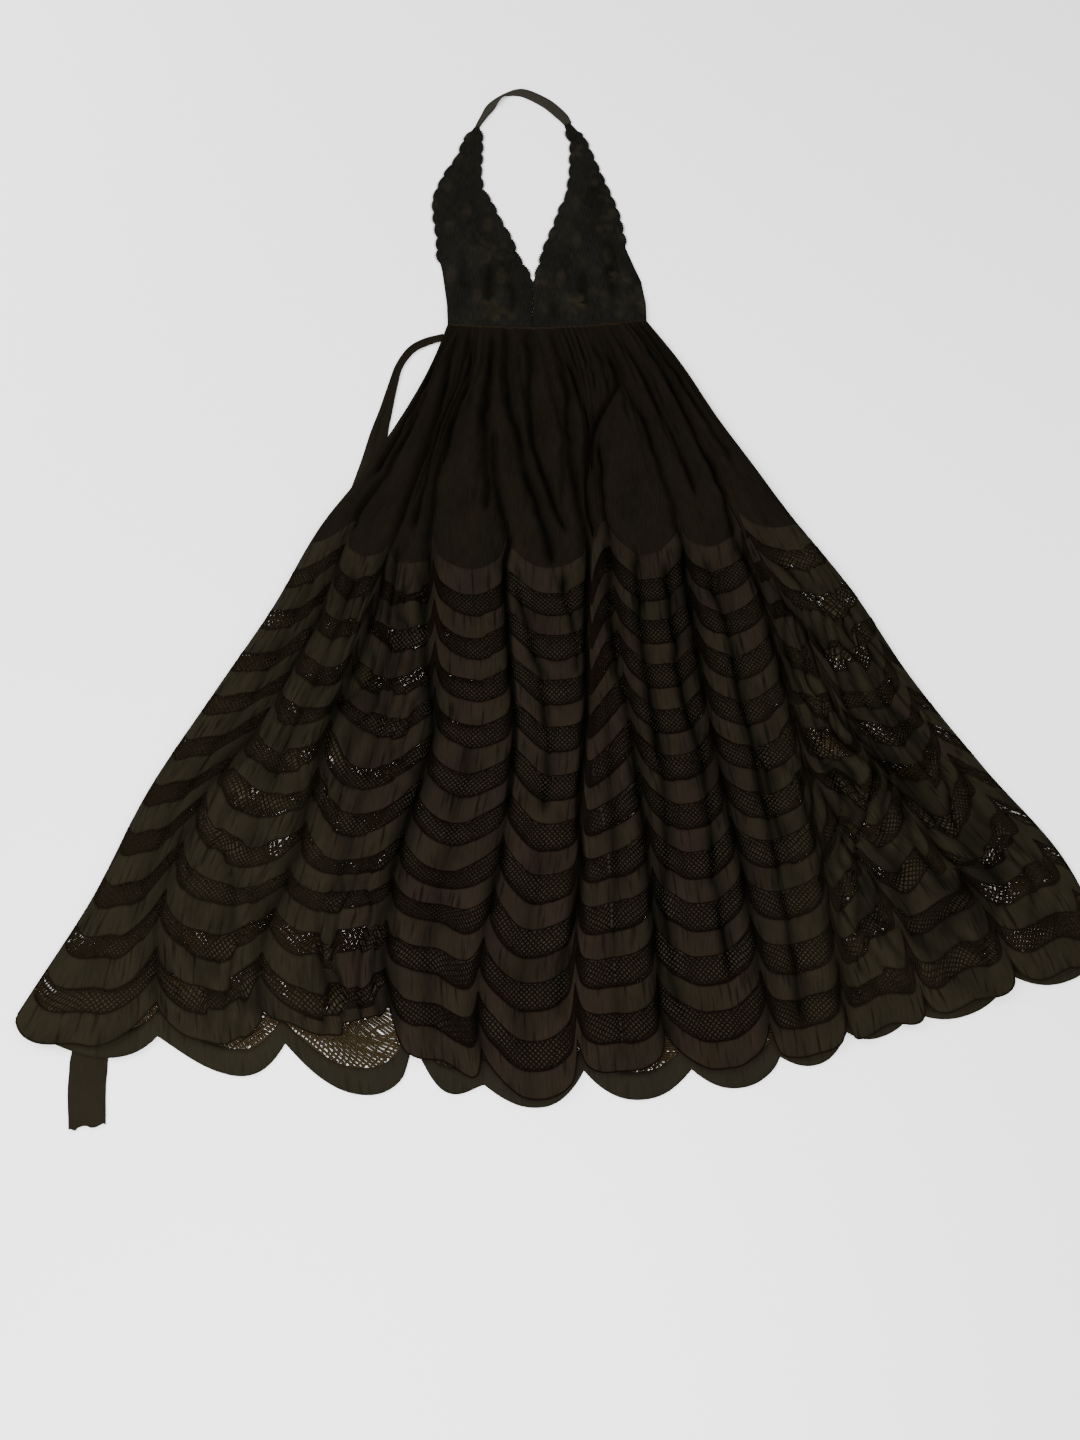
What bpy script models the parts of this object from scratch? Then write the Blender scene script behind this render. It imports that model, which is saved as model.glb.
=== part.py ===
"""A long halter-neck dress, laid flat on its back.

The skirt is one long gathered tube, pressed flat: a back panel on the ground and
a folded front panel on top of it. Each panel has a plain upper part and a lower
part of scalloped lace, joined along a scalloped seam. The bodice is two lace cups
that meet at the centre front, held up by one strap that passes behind the neck.
A long tie leaves the left side of the waist and runs down under the skirt.

The ground is z = 0, +X is the side of the dress on the viewer's right and +Y
points to the neck. Tables are in millimetres, measured from the middle of the
waist seam. The last step moves the origin to the middle of the ground plane.
"""
import math

import bmesh
import bpy
import numpy as np

MM = 0.001

# Walls and gaps, in millimetres
WALL = 1.5
CUP_WALL = 2.0
STRAP_WALL = 2.0
SEAM_GAP = 0.4
LAY_GAP = 0.5

# The furthest edges of the laid dress, from which the origin is worked out
LEFT_TIP = -553.6
RIGHT_TIP = 633.2
NECK_TOP = 466.3
TIE_TIP = -1042.6

# The waist seam: its ends lie a little nearer to the neck than its middle
SEAM_RISE = 15.0
SEAM_HALF = 160.0

# Main fold lines of the skirt. A row gives a line's distance to the right of the
# middle at each station, where a station is a length of cloth below the waist.
# The first and last rows are the two side edges. The cloth hangs its full length
# along every line, so how far a point lies below the waist follows from that.
STATIONS = (0, 80, 190, 280, 360, 490, 620, 760, 900, 1000)
FOLD_LINES = (
    ("left_edge", -119, -141, -185, -227, -269, -321, -381, -444, -492, -536),
    ("a", -107, -131, -163, -196, -230, -265, -313, -383, -411, -400),
    ("b", -92, -107, -132, -155, -177, -207, -241, -262, -295, -277),
    ("c", -75, -81, -114, -126, -125, -118, -118, -150, -158, -137),
    ("d", -35, -34, -23, -26, -34, -28, -22, -35, -57, -49),
    ("e", 30, 49, 68, 66, 71, 70, 63, 55, 48, 52),
    ("f", 73, 90, 90, 92, 99, 106, 121, 136, 137, 149),
    ("g", 106, 135, 165, 181, 190, 203, 213, 233, 250, 259),
    ("h", 133, 167, 207, 238, 262, 292, 310, 326, 335, 339),
    ("right_edge", 159, 200, 249, 293, 332, 400, 457, 530, 607, 636),
)
LAST_LINE = len(FOLD_LINES) - 1
CLOTH_STEP = 5.0
CLOTH_END = 1090.0

# How deep each main fold line is, from 0 to 1, and how that changes down the skirt
LINE_DEPTH = (0, 0.55, 0.85, 0.85, 1.0, 1.1, 0.9, 0.8, 0.6, 0)
DEPTH_AT = ((0, 0.35), (60, 0.75), (150, 0.85), (420, 0.9), (600, 0.8), (800, 0.6), (1000, 0.35))
LINE_WIDTH = 8.0

# Height of the puffed cloth between the folds, down the skirt
CROWN_AT = ((0, 2), (40, 7), (120, 12), (300, 13), (450, 12), (700, 9), (900, 6), (1000, 3), (1090, 2))
EDGE_ROUND = 24.0
FOLD_FADE = 40.0

# Smaller folds: place between the main lines at the top and bottom of the fold,
# cloth length at its top and bottom, depth from 0 to 1 and half width
FOLDS = (
    # name, line at top, line at bottom, from, to, depth, half width
    ("left_side", 0.5, 0.6, 0, 270, 0.5, 6),
    ("a_to_b", 1.5, 1.5, 0, 330, 0.5, 6),
    ("b_to_c", 2.5, 2.5, 0, 340, 0.6, 6),
    ("c_to_d", 3.55, 3.55, 20, 330, 0.8, 7),
    ("d_short", 4.45, 4.35, 0, 160, 0.6, 6),
    ("d_to_e", 4.0, 4.6, 120, 430, 0.7, 7),
    ("beside_e", 4.88, 4.93, 0, 330, 0.7, 5),
    ("flap_edge", 6.15, 5.15, 110, 260, 0.8, 7),
    ("f_to_g", 6.6, 6.9, 60, 220, 0.6, 6),
    ("g_to_h", 7.4, 7.6, 0, 300, 0.5, 6),
    ("h_to_edge", 8.5, 8.6, 0, 260, 0.6, 8),
    ("right_side", 8.75, 8.8, 20, 200, 0.4, 7),
    ("lace_left", 0.6, 0.7, 430, 900, 0.3, 14),
    ("lace_a_to_b", 1.5, 1.6, 420, 900, 0.3, 12),
    ("lace_b_to_c", 2.5, 2.5, 430, 930, 0.4, 11),
    ("lace_c_to_d", 3.5, 3.45, 620, 960, 0.25, 12),
    ("lace_d_to_e", 4.55, 4.45, 410, 990, 0.5, 8),
    ("lace_e_to_f", 5.5, 5.5, 600, 990, 0.35, 9),
    ("lace_f_left", 6.35, 6.3, 400, 960, 0.5, 8),
    ("lace_f_right", 6.75, 6.7, 400, 900, 0.5, 8),
    ("lace_g_to_h", 7.5, 7.45, 420, 980, 0.5, 9),
    ("crumple_high", 8.15, 8.6, 430, 760, 0.5, 11),
    ("crumple_mid", 8.65, 8.3, 560, 900, 0.5, 12),
    ("crumple_low", 8.2, 8.75, 720, 990, 0.5, 12),
)

# Gathers at the waist: how many across the front, and their height down the skirt
GATHERS = 22
GATHER_AT = ((0, 1.6), (30, 2.6), (90, 2.2), (180, 0.9), (270, 0))
GATHER_WANDER, WANDER_RATE = 0.35, 2.3

# The scalloped seam where the lace begins
LACE_TOP_AT = ((0, 372), (2, 392), (3.5, 396), (4.5, 392), (6.5, 380), (7.5, 376), (9, 372))
LACE_TOP_RISE = 26.0
SCALLOP_POWER = 2.2

# Scalloped hems: main line number and cloth length at each point between two
# scallops, and the cloth length at the bottom of the scallop to its right
BACK_HEM = (
    (0.0, 1040, 1055), (1.0, 1018, 1040), (2.13, 986, 1040), (3.2, 968, 1022),
    (4.0, 1004, 1027), (5.05, 990, 1021), (6.2, 994, 1019), (7.08, 994, 1011),
    (8.0, 986, 1003), (8.25, 990, 1012), (8.63, 988, 1014), (9.0, 990, 990),
)
FRONT_HEM = (
    (0.0, 1040, 1048), (1.0, 980, 1008), (2.0, 952, 986), (3.0, 948, 986),
    (4.0, 968, 1021), (5.0, 958, 994), (6.0, 952, 1000), (7.0, 962, 1002),
    (8.0, 964, 995), (8.3, 974, 1002), (8.65, 976, 1004), (9.0, 990, 990),
)

# Mesh columns across one space between main lines, and across the wide last one
FRONT_COLUMNS = (11, 24)
BACK_COLUMNS = (6, 18)
TOP_ROWS = (0, 0.05, 0.13, 0.25, 0.4, 0.57, 0.78, 1)
LACE_ROWS = 7
BACK_TOP_ROWS = (0, 0.3, 0.65, 1)
BACK_LACE_ROWS = 5

# The tie, lying on the ground: middle of the ribbon, width and thickness
TIE = (
    # right of middle, above the waist, width, thickness
    (-129, -13, 8, 3.0), (-149, -22, 9, 3.0), (-169, -36, 9, 3.0), (-184, -62, 10, 3.0),
    (-190, -93, 11, 2.5), (-198, -138, 16, 2.0), (-205, -175, 24, 1.5), (-212, -231, 34, 1.5),
    (-228, -300, 40, 1.5), (-271, -423, 40, 1.5), (-320, -559, 40, 1.5), (-409, -802, 40, 1.5),
    (-462, -945, 40, 1.5), (-467, -990, 40, 1.5), (-460, -1040, 38, 1.5),
)
TIE_FLAT = 1.5
TIE_CLEAR = 0.4
TIE_UNDER_FROM = -120.0
TIE_BACK_FLAT, TIE_BACK_RAMP = 64.0, 90.0
TIE_FRONT_FLAT, TIE_FRONT_RAMP = 98.0, 130.0

# The two cups: height above the waist seam, outer edge and inner edge
LEFT_CUP = (
    (0, -119, 0), (38, -121, 0), (86, -127, 0), (106, -130, -7), (136, -137, -22),
    (166, -138, -32), (202, -144, -49), (241, -147, -64), (263, -142, -76), (295, -131, -80),
    (330, -113, -79), (365, -104, -79), (392, -89, -82),
)
RIGHT_CUP = (
    (0, 159, 0), (38, 159, 0), (86, 154, 0), (109, 146, 6), (147, 134, 14),
    (198, 127, 33), (222, 122, 39), (249, 114, 50), (295, 99, 56), (340, 85, 57),
    (356, 80, 58), (372, 74, 52), (397, 57, 46),
)
V_HEIGHT = 86.0
CUP_COLUMNS = 6
CUP_ROW_PITCH = 8.0
CUP_CROWN_AT = ((0, 1.5), (60, 6), (120, 8), (200, 5), (280, 2), (340, 0.5), (400, 0))
CUP_ROUNDNESS = 0.8
CUP_SCALLOP = 24.0
CUP_SCALLOP_DEPTH = 3.0
# Heights above the waist between which each edge is scalloped
LEFT_OUTER_SCALLOPS = (121, 380)
LEFT_INNER_SCALLOPS = (90, 263)
RIGHT_OUTER_SCALLOPS = (154, 380)
RIGHT_INNER_SCALLOPS = (90, 280)

# The plain band that closes the low back, under the bottom of the cups
BAND_HEIGHT = 24.0
BAND_LEFT, BAND_RIGHT = -116.0, 156.0
BAND_COLUMNS = 12
CUP_LIFT_FLAT, CUP_LIFT_RAMP = 36.0, 60.0

# The neck strap: middle of the ribbon and its width
STRAP = (
    # right of middle, above the waist, width
    (-85.5, 392, 7), (-76, 413, 11), (-66, 433, 13), (-50, 453, 9), (-31, 462, 7),
    (-9, 458, 12), (19, 439, 15), (42, 414, 13), (52.5, 397, 9),
)
STRAP_STEPS = 4

COLOURS = {
    "plain": (0.012, 0.009, 0.006), "lace": (0.022, 0.017, 0.012),
    "cup": (0.016, 0.017, 0.015), "trim": (0.014, 0.010, 0.008),
}


def clear_scene():
    """Removes whatever the open scene holds."""
    for obj in list(bpy.data.objects):
        bpy.data.objects.remove(obj, do_unlink=True)


def along(table, value):
    """Reads a two-column table at a value, with straight runs between its rows."""
    return np.interp(value, [row[0] for row in table], [row[1] for row in table])


def smooth_along(stations, values, at):
    """Reads a smooth curve through the values given at the stations."""
    stations = np.asarray(stations, float)
    values = np.asarray(values, float)
    slope = np.gradient(values, stations)
    i = np.clip(np.searchsorted(stations, at, side="right") - 1, 0, len(stations) - 2)
    span = stations[i + 1] - stations[i]
    t = (at - stations[i]) / span
    start = (2 * t**3 - 3 * t**2 + 1) * values[i] + (t**3 - 2 * t**2 + t) * span * slope[i]
    end = (3 * t**2 - 2 * t**3) * values[i + 1] + (t**3 - t**2) * span * slope[i + 1]
    return start + end


def seam_height(x):
    """How far the waist seam lies above its own middle: straight runs between the fold lines."""
    starts = [row[1] for row in FOLD_LINES]
    return np.interp(x, starts, [SEAM_RISE * (start / SEAM_HALF) ** 2 for start in starts])


def lay_fold_lines():
    """Walks every main fold line down the cloth and returns its points in plan."""
    cloth = np.arange(0, CLOTH_END + CLOTH_STEP, CLOTH_STEP)
    end = STATIONS[-1]
    across, up = [], []
    for _, *places in FOLD_LINES:
        x = smooth_along(STATIONS, places, np.minimum(cloth, end))
        last_slope = (places[-1] - places[-2]) / (end - STATIONS[-2])
        x = x + np.maximum(cloth - end, 0) * last_slope
        fall = np.sqrt(np.clip(1 - np.gradient(x, cloth) ** 2, 0.05, 1))
        drop = np.concatenate([[0], np.cumsum((fall[1:] + fall[:-1]) / 2 * CLOTH_STEP)])
        across.append(x)
        up.append(seam_height(x[0]) - drop)
    return np.array(across), np.array(up)


LINE_X, LINE_Y = lay_fold_lines()


def on_cloth(line, cloth):
    """Place in plan of a point of the skirt, from its line number and cloth length."""
    left = min(max(int(math.floor(line)), 0), LAST_LINE - 1)
    share = line - left
    place = min(max(cloth / CLOTH_STEP, 0), LINE_X.shape[1] - 1.001)
    step = int(place)
    rest = place - step
    x = y = 0.0
    for number, weight in ((left, 1 - share), (left + 1, share)):
        x += weight * (LINE_X[number, step] * (1 - rest) + LINE_X[number, step + 1] * rest)
        y += weight * (LINE_Y[number, step] * (1 - rest) + LINE_Y[number, step + 1] * rest)
    return x, y


def scallop(share):
    """A scallop's curve: 0 at the two points, 1 at its bottom."""
    return 1 - abs(2 * share - 1) ** SCALLOP_POWER


def hem_length(hem, line):
    """Cloth length of a scalloped hem at a line number."""
    row = 0
    while row < len(hem) - 2 and line >= hem[row + 1][0]:
        row += 1
    (start, cusp, bottom), (stop, next_cusp, _) = hem[row], hem[row + 1]
    share = (line - start) / (stop - start)
    chord = cusp + (next_cusp - cusp) * share
    return chord + (bottom - chord) * scallop(share)


def lace_start(line):
    """Cloth length of the scalloped seam at the top of the lace."""
    return along(LACE_TOP_AT, line) - LACE_TOP_RISE * (1 - scallop(line % 1.0))


def bell(distance, half_width):
    """A smooth hump: 1 at no distance, near 0 past twice the half width."""
    return math.exp(-((distance / half_width) ** 2))


def tie_distance(x, y):
    """Distance in plan to the middle of the tie, for the stretch that lies near the skirt."""
    best = 1e9
    rows = [row for row in TIE if row[1] <= TIE_UNDER_FROM]
    for (ax, ay, _, _), (bx, by, _, _) in zip(rows, rows[1:]):
        t = ((x - ax) * (bx - ax) + (y - ay) * (by - ay)) / ((bx - ax) ** 2 + (by - ay) ** 2)
        t = min(max(t, 0), 1)
        best = min(best, math.hypot(x - ax - t * (bx - ax), y - ay - t * (by - ay)))
    return best


def lift_over_tie(x, y, flat, ramp):
    """How far the cloth is lifted where the tie runs under it."""
    share = (ramp - tie_distance(x, y)) / (ramp - flat)
    return (TIE_FLAT + TIE_CLEAR) * min(max(share, 0), 1)


def faded(inside):
    """Share of a fold's depth near its end: 0 to 1 over the fade on both sides of it."""
    return min(max((inside + FOLD_FADE) / (2 * FOLD_FADE), 0), 1)


def fold_depth(cloth, x):
    """How far the folds press the puffed cloth down, from 0 to 1."""
    depth = 0.0
    for number in range(1, LAST_LINE):
        gap = x - on_cloth(number, cloth)[0]
        depth += LINE_DEPTH[number] * along(DEPTH_AT, cloth) * bell(gap, LINE_WIDTH)
    for _, top_line, low_line, start, stop, deep, half in FOLDS:
        fade = faded(cloth - start) * faded(stop - cloth)
        if fade:
            share = min(max((cloth - start) / (stop - start), 0), 1)
            gap = x - on_cloth(top_line + (low_line - top_line) * share, cloth)[0]
            depth += deep * fade * bell(gap, half)
    return min(depth, 1)


def front_height(line, cloth):
    """Height of the front panel's underside above the ground."""
    x, y = on_cloth(line, cloth)
    inside = min(x - on_cloth(0, cloth)[0], on_cloth(LAST_LINE, cloth)[0] - x)
    share = min(max(inside / EDGE_ROUND, 0), 1)
    rounding = math.sqrt(1 - (1 - share) ** 2)
    puff = along(CROWN_AT, cloth) * rounding * (1 - fold_depth(cloth, x))
    turns = GATHERS * line / LAST_LINE + GATHER_WANDER * math.sin(WANDER_RATE * line)
    gather = along(GATHER_AT, cloth) * rounding * (1 + math.cos(2 * math.pi * turns)) / 2
    rest = WALL + LAY_GAP + lift_over_tie(x, y, TIE_FRONT_FLAT, TIE_FRONT_RAMP)
    return rest + puff + gather


def back_height(line, cloth):
    """Height of the back panel's underside: flat on the ground but for the tie."""
    x, y = on_cloth(line, cloth)
    return lift_over_tie(x, y, TIE_BACK_FLAT, TIE_BACK_RAMP)


def columns(counts):
    """Line numbers of the mesh columns: even between main lines, closer in the last space."""
    few, many = counts
    inner = [k + i / few for k in range(LAST_LINE - 1) for i in range(few)]
    return inner + [LAST_LINE - 1 + i / many for i in range(many + 1)]


def material(name, colour, roughness):
    """A plain cloth material."""
    mat = bpy.data.materials.new(name)
    mat.use_nodes = True
    shader = mat.node_tree.nodes["Principled BSDF"]
    shader.inputs["Base Color"].default_value = (*colour, 1)
    shader.inputs["Roughness"].default_value = roughness
    shader.inputs["Metallic"].default_value = 0
    return mat


def wall_from_grid(name, points, thickness, kind, roughness=0.8):
    """A closed wall: a grid laid on the given underside points, then given its thickness upwards.

    points is a list of rows, each a list of (x, y, z) in millimetres. thickness is one
    number, or one for each row.
    """
    rows, width = len(points), len(points[0])
    thick = [thickness] * rows if not isinstance(thickness, (list, tuple)) else thickness
    bm = bmesh.new()
    bmesh.ops.create_grid(bm, x_segments=width - 1, y_segments=rows - 1, size=0.5)
    bm.verts.ensure_lookup_table()
    row_of = {}
    for vert in bm.verts:
        i = round((vert.co.x + 0.5) * (width - 1))
        j = round((vert.co.y + 0.5) * (rows - 1))
        row_of[vert] = (i, j)
    for vert, (i, j) in row_of.items():
        vert.co = (c * MM for c in points[j][i])
    place = {tuple(vert.co): thick[j] for vert, (_, j) in row_of.items()}
    made = bmesh.ops.extrude_face_region(bm, geom=list(bm.faces))
    for vert in (item for item in made["geom"] if isinstance(item, bmesh.types.BMVert)):
        vert.co.z += place[tuple(vert.co)] * MM
    bmesh.ops.recalc_face_normals(bm, faces=list(bm.faces))
    bmesh.ops.triangulate(bm, faces=list(bm.faces), quad_method="SHORT_EDGE")
    mesh = bpy.data.meshes.new(name)
    bm.to_mesh(mesh)
    bm.free()
    mesh.shade_smooth()
    mesh.set_sharp_from_angle(angle=math.radians(50))
    obj = bpy.data.objects.new(name, mesh)
    obj.data.materials.append(material(name + "_cloth", COLOURS[kind], roughness))
    obj.location = (-(LEFT_TIP + RIGHT_TIP) / 2 * MM, -(NECK_TOP + TIE_TIP) / 2 * MM, 0)
    return obj


def skirt_panel(name, height, line_columns, lengths, kind):
    """A skirt panel between two cloth lengths. lengths gives the rows for a line number."""
    per_line = [lengths(line) for line in line_columns]
    rows = []
    for j in range(len(per_line[0]) - 1, -1, -1):
        row = []
        for line, cloth_rows in zip(line_columns, per_line):
            cloth = cloth_rows[j]
            x, y = on_cloth(line, cloth)
            row.append((x, y, height(line, cloth)))
        rows.append(row)
    return wall_from_grid(name, rows, WALL, kind)


def top_lengths(shares):
    """Rows of a plain upper panel, from the waist down to the lace seam."""
    def rows(line):
        stop = lace_start(line) - SEAM_GAP / 2
        return [stop * share for share in shares]
    return rows


def lace_lengths(hem, count):
    """Rows of a lace panel, from the lace seam down to its hem."""
    def rows(line):
        start = lace_start(line) + SEAM_GAP / 2
        stop = hem_length(hem, line)
        return [start + (stop - start) * i / count for i in range(count + 1)]
    return rows


def edge_scallop(height, between):
    """How far a scalloped cup edge swells outwards at a height."""
    if not between[0] <= height <= between[1]:
        return 0.0
    return CUP_SCALLOP_DEPTH * scallop((height - between[0]) / CUP_SCALLOP % 1.0)


def cup(name, table, outer_scallops, inner_scallops):
    """One cup of the bodice: a soft wall that rises from its edges over the bust."""
    side = 1 if table[0][1] > 0 else -1
    top = table[-1][0]
    low_count, high_count = round(V_HEIGHT / CUP_ROW_PITCH), round((top - V_HEIGHT) / CUP_ROW_PITCH)
    heights = [V_HEIGHT * i / low_count for i in range(low_count)]
    heights += [V_HEIGHT + (top - V_HEIGHT) * i / high_count for i in range(high_count + 1)]
    outer_at = [(row[0], row[1]) for row in table]
    inner_at = [(row[0], row[2]) for row in table]
    rows = []
    for height in heights:
        outer = along(outer_at, height) + side * edge_scallop(height, outer_scallops)
        inner = along(inner_at, height) + side * SEAM_GAP / 2
        inner -= side * edge_scallop(height, inner_scallops)
        lift = (WALL + LAY_GAP) * min(max((CUP_LIFT_RAMP - height) / (CUP_LIFT_RAMP - CUP_LIFT_FLAT), 0), 1)
        row = []
        for i in range(CUP_COLUMNS + 1):
            share = i / CUP_COLUMNS
            x = outer + (inner - outer) * share
            rise = seam_height(x) * max(1 - height / V_HEIGHT, 0)
            crown = along(CUP_CROWN_AT, height) * math.sin(math.pi * share) ** CUP_ROUNDNESS
            row.append((x, height + rise + SEAM_GAP, lift + crown))
        rows.append(row if side < 0 else row[::-1])
    return wall_from_grid(name, rows, CUP_WALL, "cup", 0.7)


def ribbon(name, sections, thickness, kind, level_ends):
    """A flat ribbon on the ground along its middle line, with a width at each section."""
    left, right = [], []
    last = len(sections) - 1
    for i, (x, y, width) in enumerate(sections):
        ahead, behind = sections[min(i + 1, last)], sections[max(i - 1, 0)]
        dx, dy = ahead[0] - behind[0], ahead[1] - behind[1]
        if level_ends and i in (0, last):
            dx, dy = 0, (1 if i == 0 else -1)
        size = math.hypot(dx, dy)
        nx, ny = -dy / size * width / 2, dx / size * width / 2
        left.append((x + nx, y + ny, 0))
        right.append((x - nx, y - ny, 0))
    rows = [[a, b] for a, b in zip(left, right)]
    return wall_from_grid(name, rows, thickness, kind)


def neck_strap():
    """The strap behind the neck, on a smooth curve through its sections."""
    marks = range(len(STRAP))
    steps = [i / STRAP_STEPS for i in range((len(STRAP) - 1) * STRAP_STEPS + 1)]
    curves = [smooth_along(marks, [row[c] for row in STRAP], np.array(steps)) for c in range(3)]
    sections = [tuple(curve[i] for curve in curves) for i in range(len(steps))]
    x, y, width = sections[0]
    sections[0] = (x, y + 2 * SEAM_GAP, width)
    x, y, width = sections[-1]
    sections[-1] = (x, y + 2 * SEAM_GAP, width)
    return ribbon("neck_strap", sections, STRAP_WALL, "trim", True)


def tie():
    """The long tie, folded narrow at the waist and flat where it lies under the skirt."""
    sections = [(x, y, width) for x, y, width, _ in TIE]
    return ribbon("tie", sections, [row[3] for row in TIE], "trim", False)


def back_band():
    """The narrow band that closes the low back."""
    rows = []
    for height in (0, BAND_HEIGHT / 2, BAND_HEIGHT):
        row = []
        for i in range(BAND_COLUMNS + 1):
            x = BAND_LEFT + (BAND_RIGHT - BAND_LEFT) * i / BAND_COLUMNS
            row.append((x, seam_height(x) + SEAM_GAP + height, 0))
        rows.append(row)
    return wall_from_grid("back_band", rows, WALL, "plain")


def main():
    """Builds the dress."""
    clear_scene()
    front_lines, back_lines = columns(FRONT_COLUMNS), columns(BACK_COLUMNS)
    pieces = [
        skirt_panel("skirt_back_top", back_height, back_lines, top_lengths(BACK_TOP_ROWS), "plain"),
        skirt_panel("skirt_back_lace", back_height, back_lines,
                    lace_lengths(BACK_HEM, BACK_LACE_ROWS), "lace"),
        skirt_panel("skirt_front_top", front_height, front_lines, top_lengths(TOP_ROWS), "plain"),
        skirt_panel("skirt_front_lace", front_height, front_lines,
                    lace_lengths(FRONT_HEM, LACE_ROWS), "lace"),
        cup("cup_left", LEFT_CUP, LEFT_OUTER_SCALLOPS, LEFT_INNER_SCALLOPS),
        cup("cup_right", RIGHT_CUP, RIGHT_OUTER_SCALLOPS, RIGHT_INNER_SCALLOPS),
        neck_strap(),
        back_band(),
        tie(),
    ]
    group = bpy.data.collections.new("halter_dress")
    bpy.context.scene.collection.children.link(group)
    for obj in pieces:
        group.objects.link(obj)


main()
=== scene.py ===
import math
from functools import partial
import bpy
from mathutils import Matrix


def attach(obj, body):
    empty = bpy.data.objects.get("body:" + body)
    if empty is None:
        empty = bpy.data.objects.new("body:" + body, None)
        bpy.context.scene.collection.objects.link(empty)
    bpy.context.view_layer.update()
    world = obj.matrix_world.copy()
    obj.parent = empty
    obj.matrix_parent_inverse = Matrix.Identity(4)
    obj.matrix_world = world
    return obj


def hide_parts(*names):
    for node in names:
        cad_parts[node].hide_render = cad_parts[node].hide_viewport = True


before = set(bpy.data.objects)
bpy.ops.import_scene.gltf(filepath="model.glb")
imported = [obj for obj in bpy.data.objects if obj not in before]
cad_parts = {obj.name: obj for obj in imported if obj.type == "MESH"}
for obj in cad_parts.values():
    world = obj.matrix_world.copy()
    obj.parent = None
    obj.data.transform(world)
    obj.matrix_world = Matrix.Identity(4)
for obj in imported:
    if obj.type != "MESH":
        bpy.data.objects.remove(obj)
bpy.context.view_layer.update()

from types import SimpleNamespace

import bpy
import numpy as np

# A long black halter-neck dress, laid flat on its back and seen from above its hem.
# Tables are in millimetres, measured on the laid dress from the middle of the waist seam:
# x to the right, y to the neck. "Cloth" is a length of cloth below the waist seam.

MM = 0.001
# Random waves repeat after this many lengths; grids are read to just before their end
WAVES, PAST_END = 64, 1.001

# Middle of the ground plane, in the tables' own measure
MIDDLE_X, MIDDLE_Y = 39.8, -288.15

# How the skirt lies: the curve of the waist seam, and the place across of each main fold line at
# these lengths of cloth
SEAM_RISE, SEAM_HALF = 15.0, 160.0
STATIONS = (0, 80, 190, 280, 360, 490, 620, 760, 900, 1000)
FOLD_LINES = (
    (-119, -141, -185, -227, -269, -321, -381, -444, -492, -536),
    (-107, -131, -163, -196, -230, -265, -313, -383, -411, -400),
    (-92, -107, -132, -155, -177, -207, -241, -262, -295, -277),
    (-75, -81, -114, -126, -125, -118, -118, -150, -158, -137),
    (-35, -34, -23, -26, -34, -28, -22, -35, -57, -49),
    (30, 49, 68, 66, 71, 70, 63, 55, 48, 52),
    (73, 90, 90, 92, 99, 106, 121, 136, 137, 149),
    (106, 135, 165, 181, 190, 203, 213, 233, 250, 259),
    (133, 167, 207, 238, 262, 292, 310, 326, 335, 339),
    (159, 200, 249, 293, 332, 400, 457, 530, 607, 636),
)
LAST_LINE = len(FOLD_LINES) - 1
LINES = range(len(FOLD_LINES))
LINE_STARTS = [row[0] for row in FOLD_LINES]
START_RISES = [SEAM_RISE * (start / SEAM_HALF) ** 2 for start in LINE_STARTS]
# A panel's mean width between two fold lines, for the gauze's flat place
LINE_WIDTH = 105.0
# A fold line's steps and end, and the least share of a step that still goes down the dress
CLOTH_STEP, CLOTH_END, LEAST_FALL = 5.0, 1090.0, 0.05
# How high the laid cloth is puffed up, and how wide its rounded side edges are
CROWN_AT = ((0, 2), (40, 7), (120, 12), (300, 13), (450, 12), (700, 9), (900, 6), (1000, 3), (1090, 2))
EDGE_ROUND = 24.0
# Gathers at the waist: how many, how deep, how unevenly spaced and how dark their painted shade is
GATHERS = 24
GATHER_AT = ((0, 2.2), (30, 3.4), (90, 3.4), (180, 2.5), (270, 1.2), (390, 0.5))
GATHER_WANDER, WANDER_RATE, GATHER_PAINTED_SHADE, DEEP_GATHER = 0.9, 2.3, 0.3, 5
# The back panel's wall and the gap above it; the middle of the back's and the front's cloth above
# the ground and that gap; how much the front waves at its side edges; the cloths' thicknesses
WALL, LAY_GAP, BACK_REST, FRONT_REST, EDGE_WAVES = 1.5, 0.5, 0.65, 0.5, 0.3
SKIRT_THICK, CUP_THICK, BAND_THICK, RIDGE_THICK, STRAP_THICK, TIE_THICK = 0.7, 1.2, 0.8, 0.5, 1.6, 1.2
# How finely the pieces are made: points across and down the gauzes, points to a lace column,
# and rows of points of the front's first band, its other bands and the back's bands
FRONT_GAUZE_GRID, BACK_GAUZE_GRID = (281, 131), (121, 61)
FRONT_STEPS, BACK_STEPS, RIM_STEPS = 48, 24, 32
FIRST_BAND_ROWS, FRONT_BAND_ROWS, BACK_BAND_ROWS = 10, 8, 5

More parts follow.
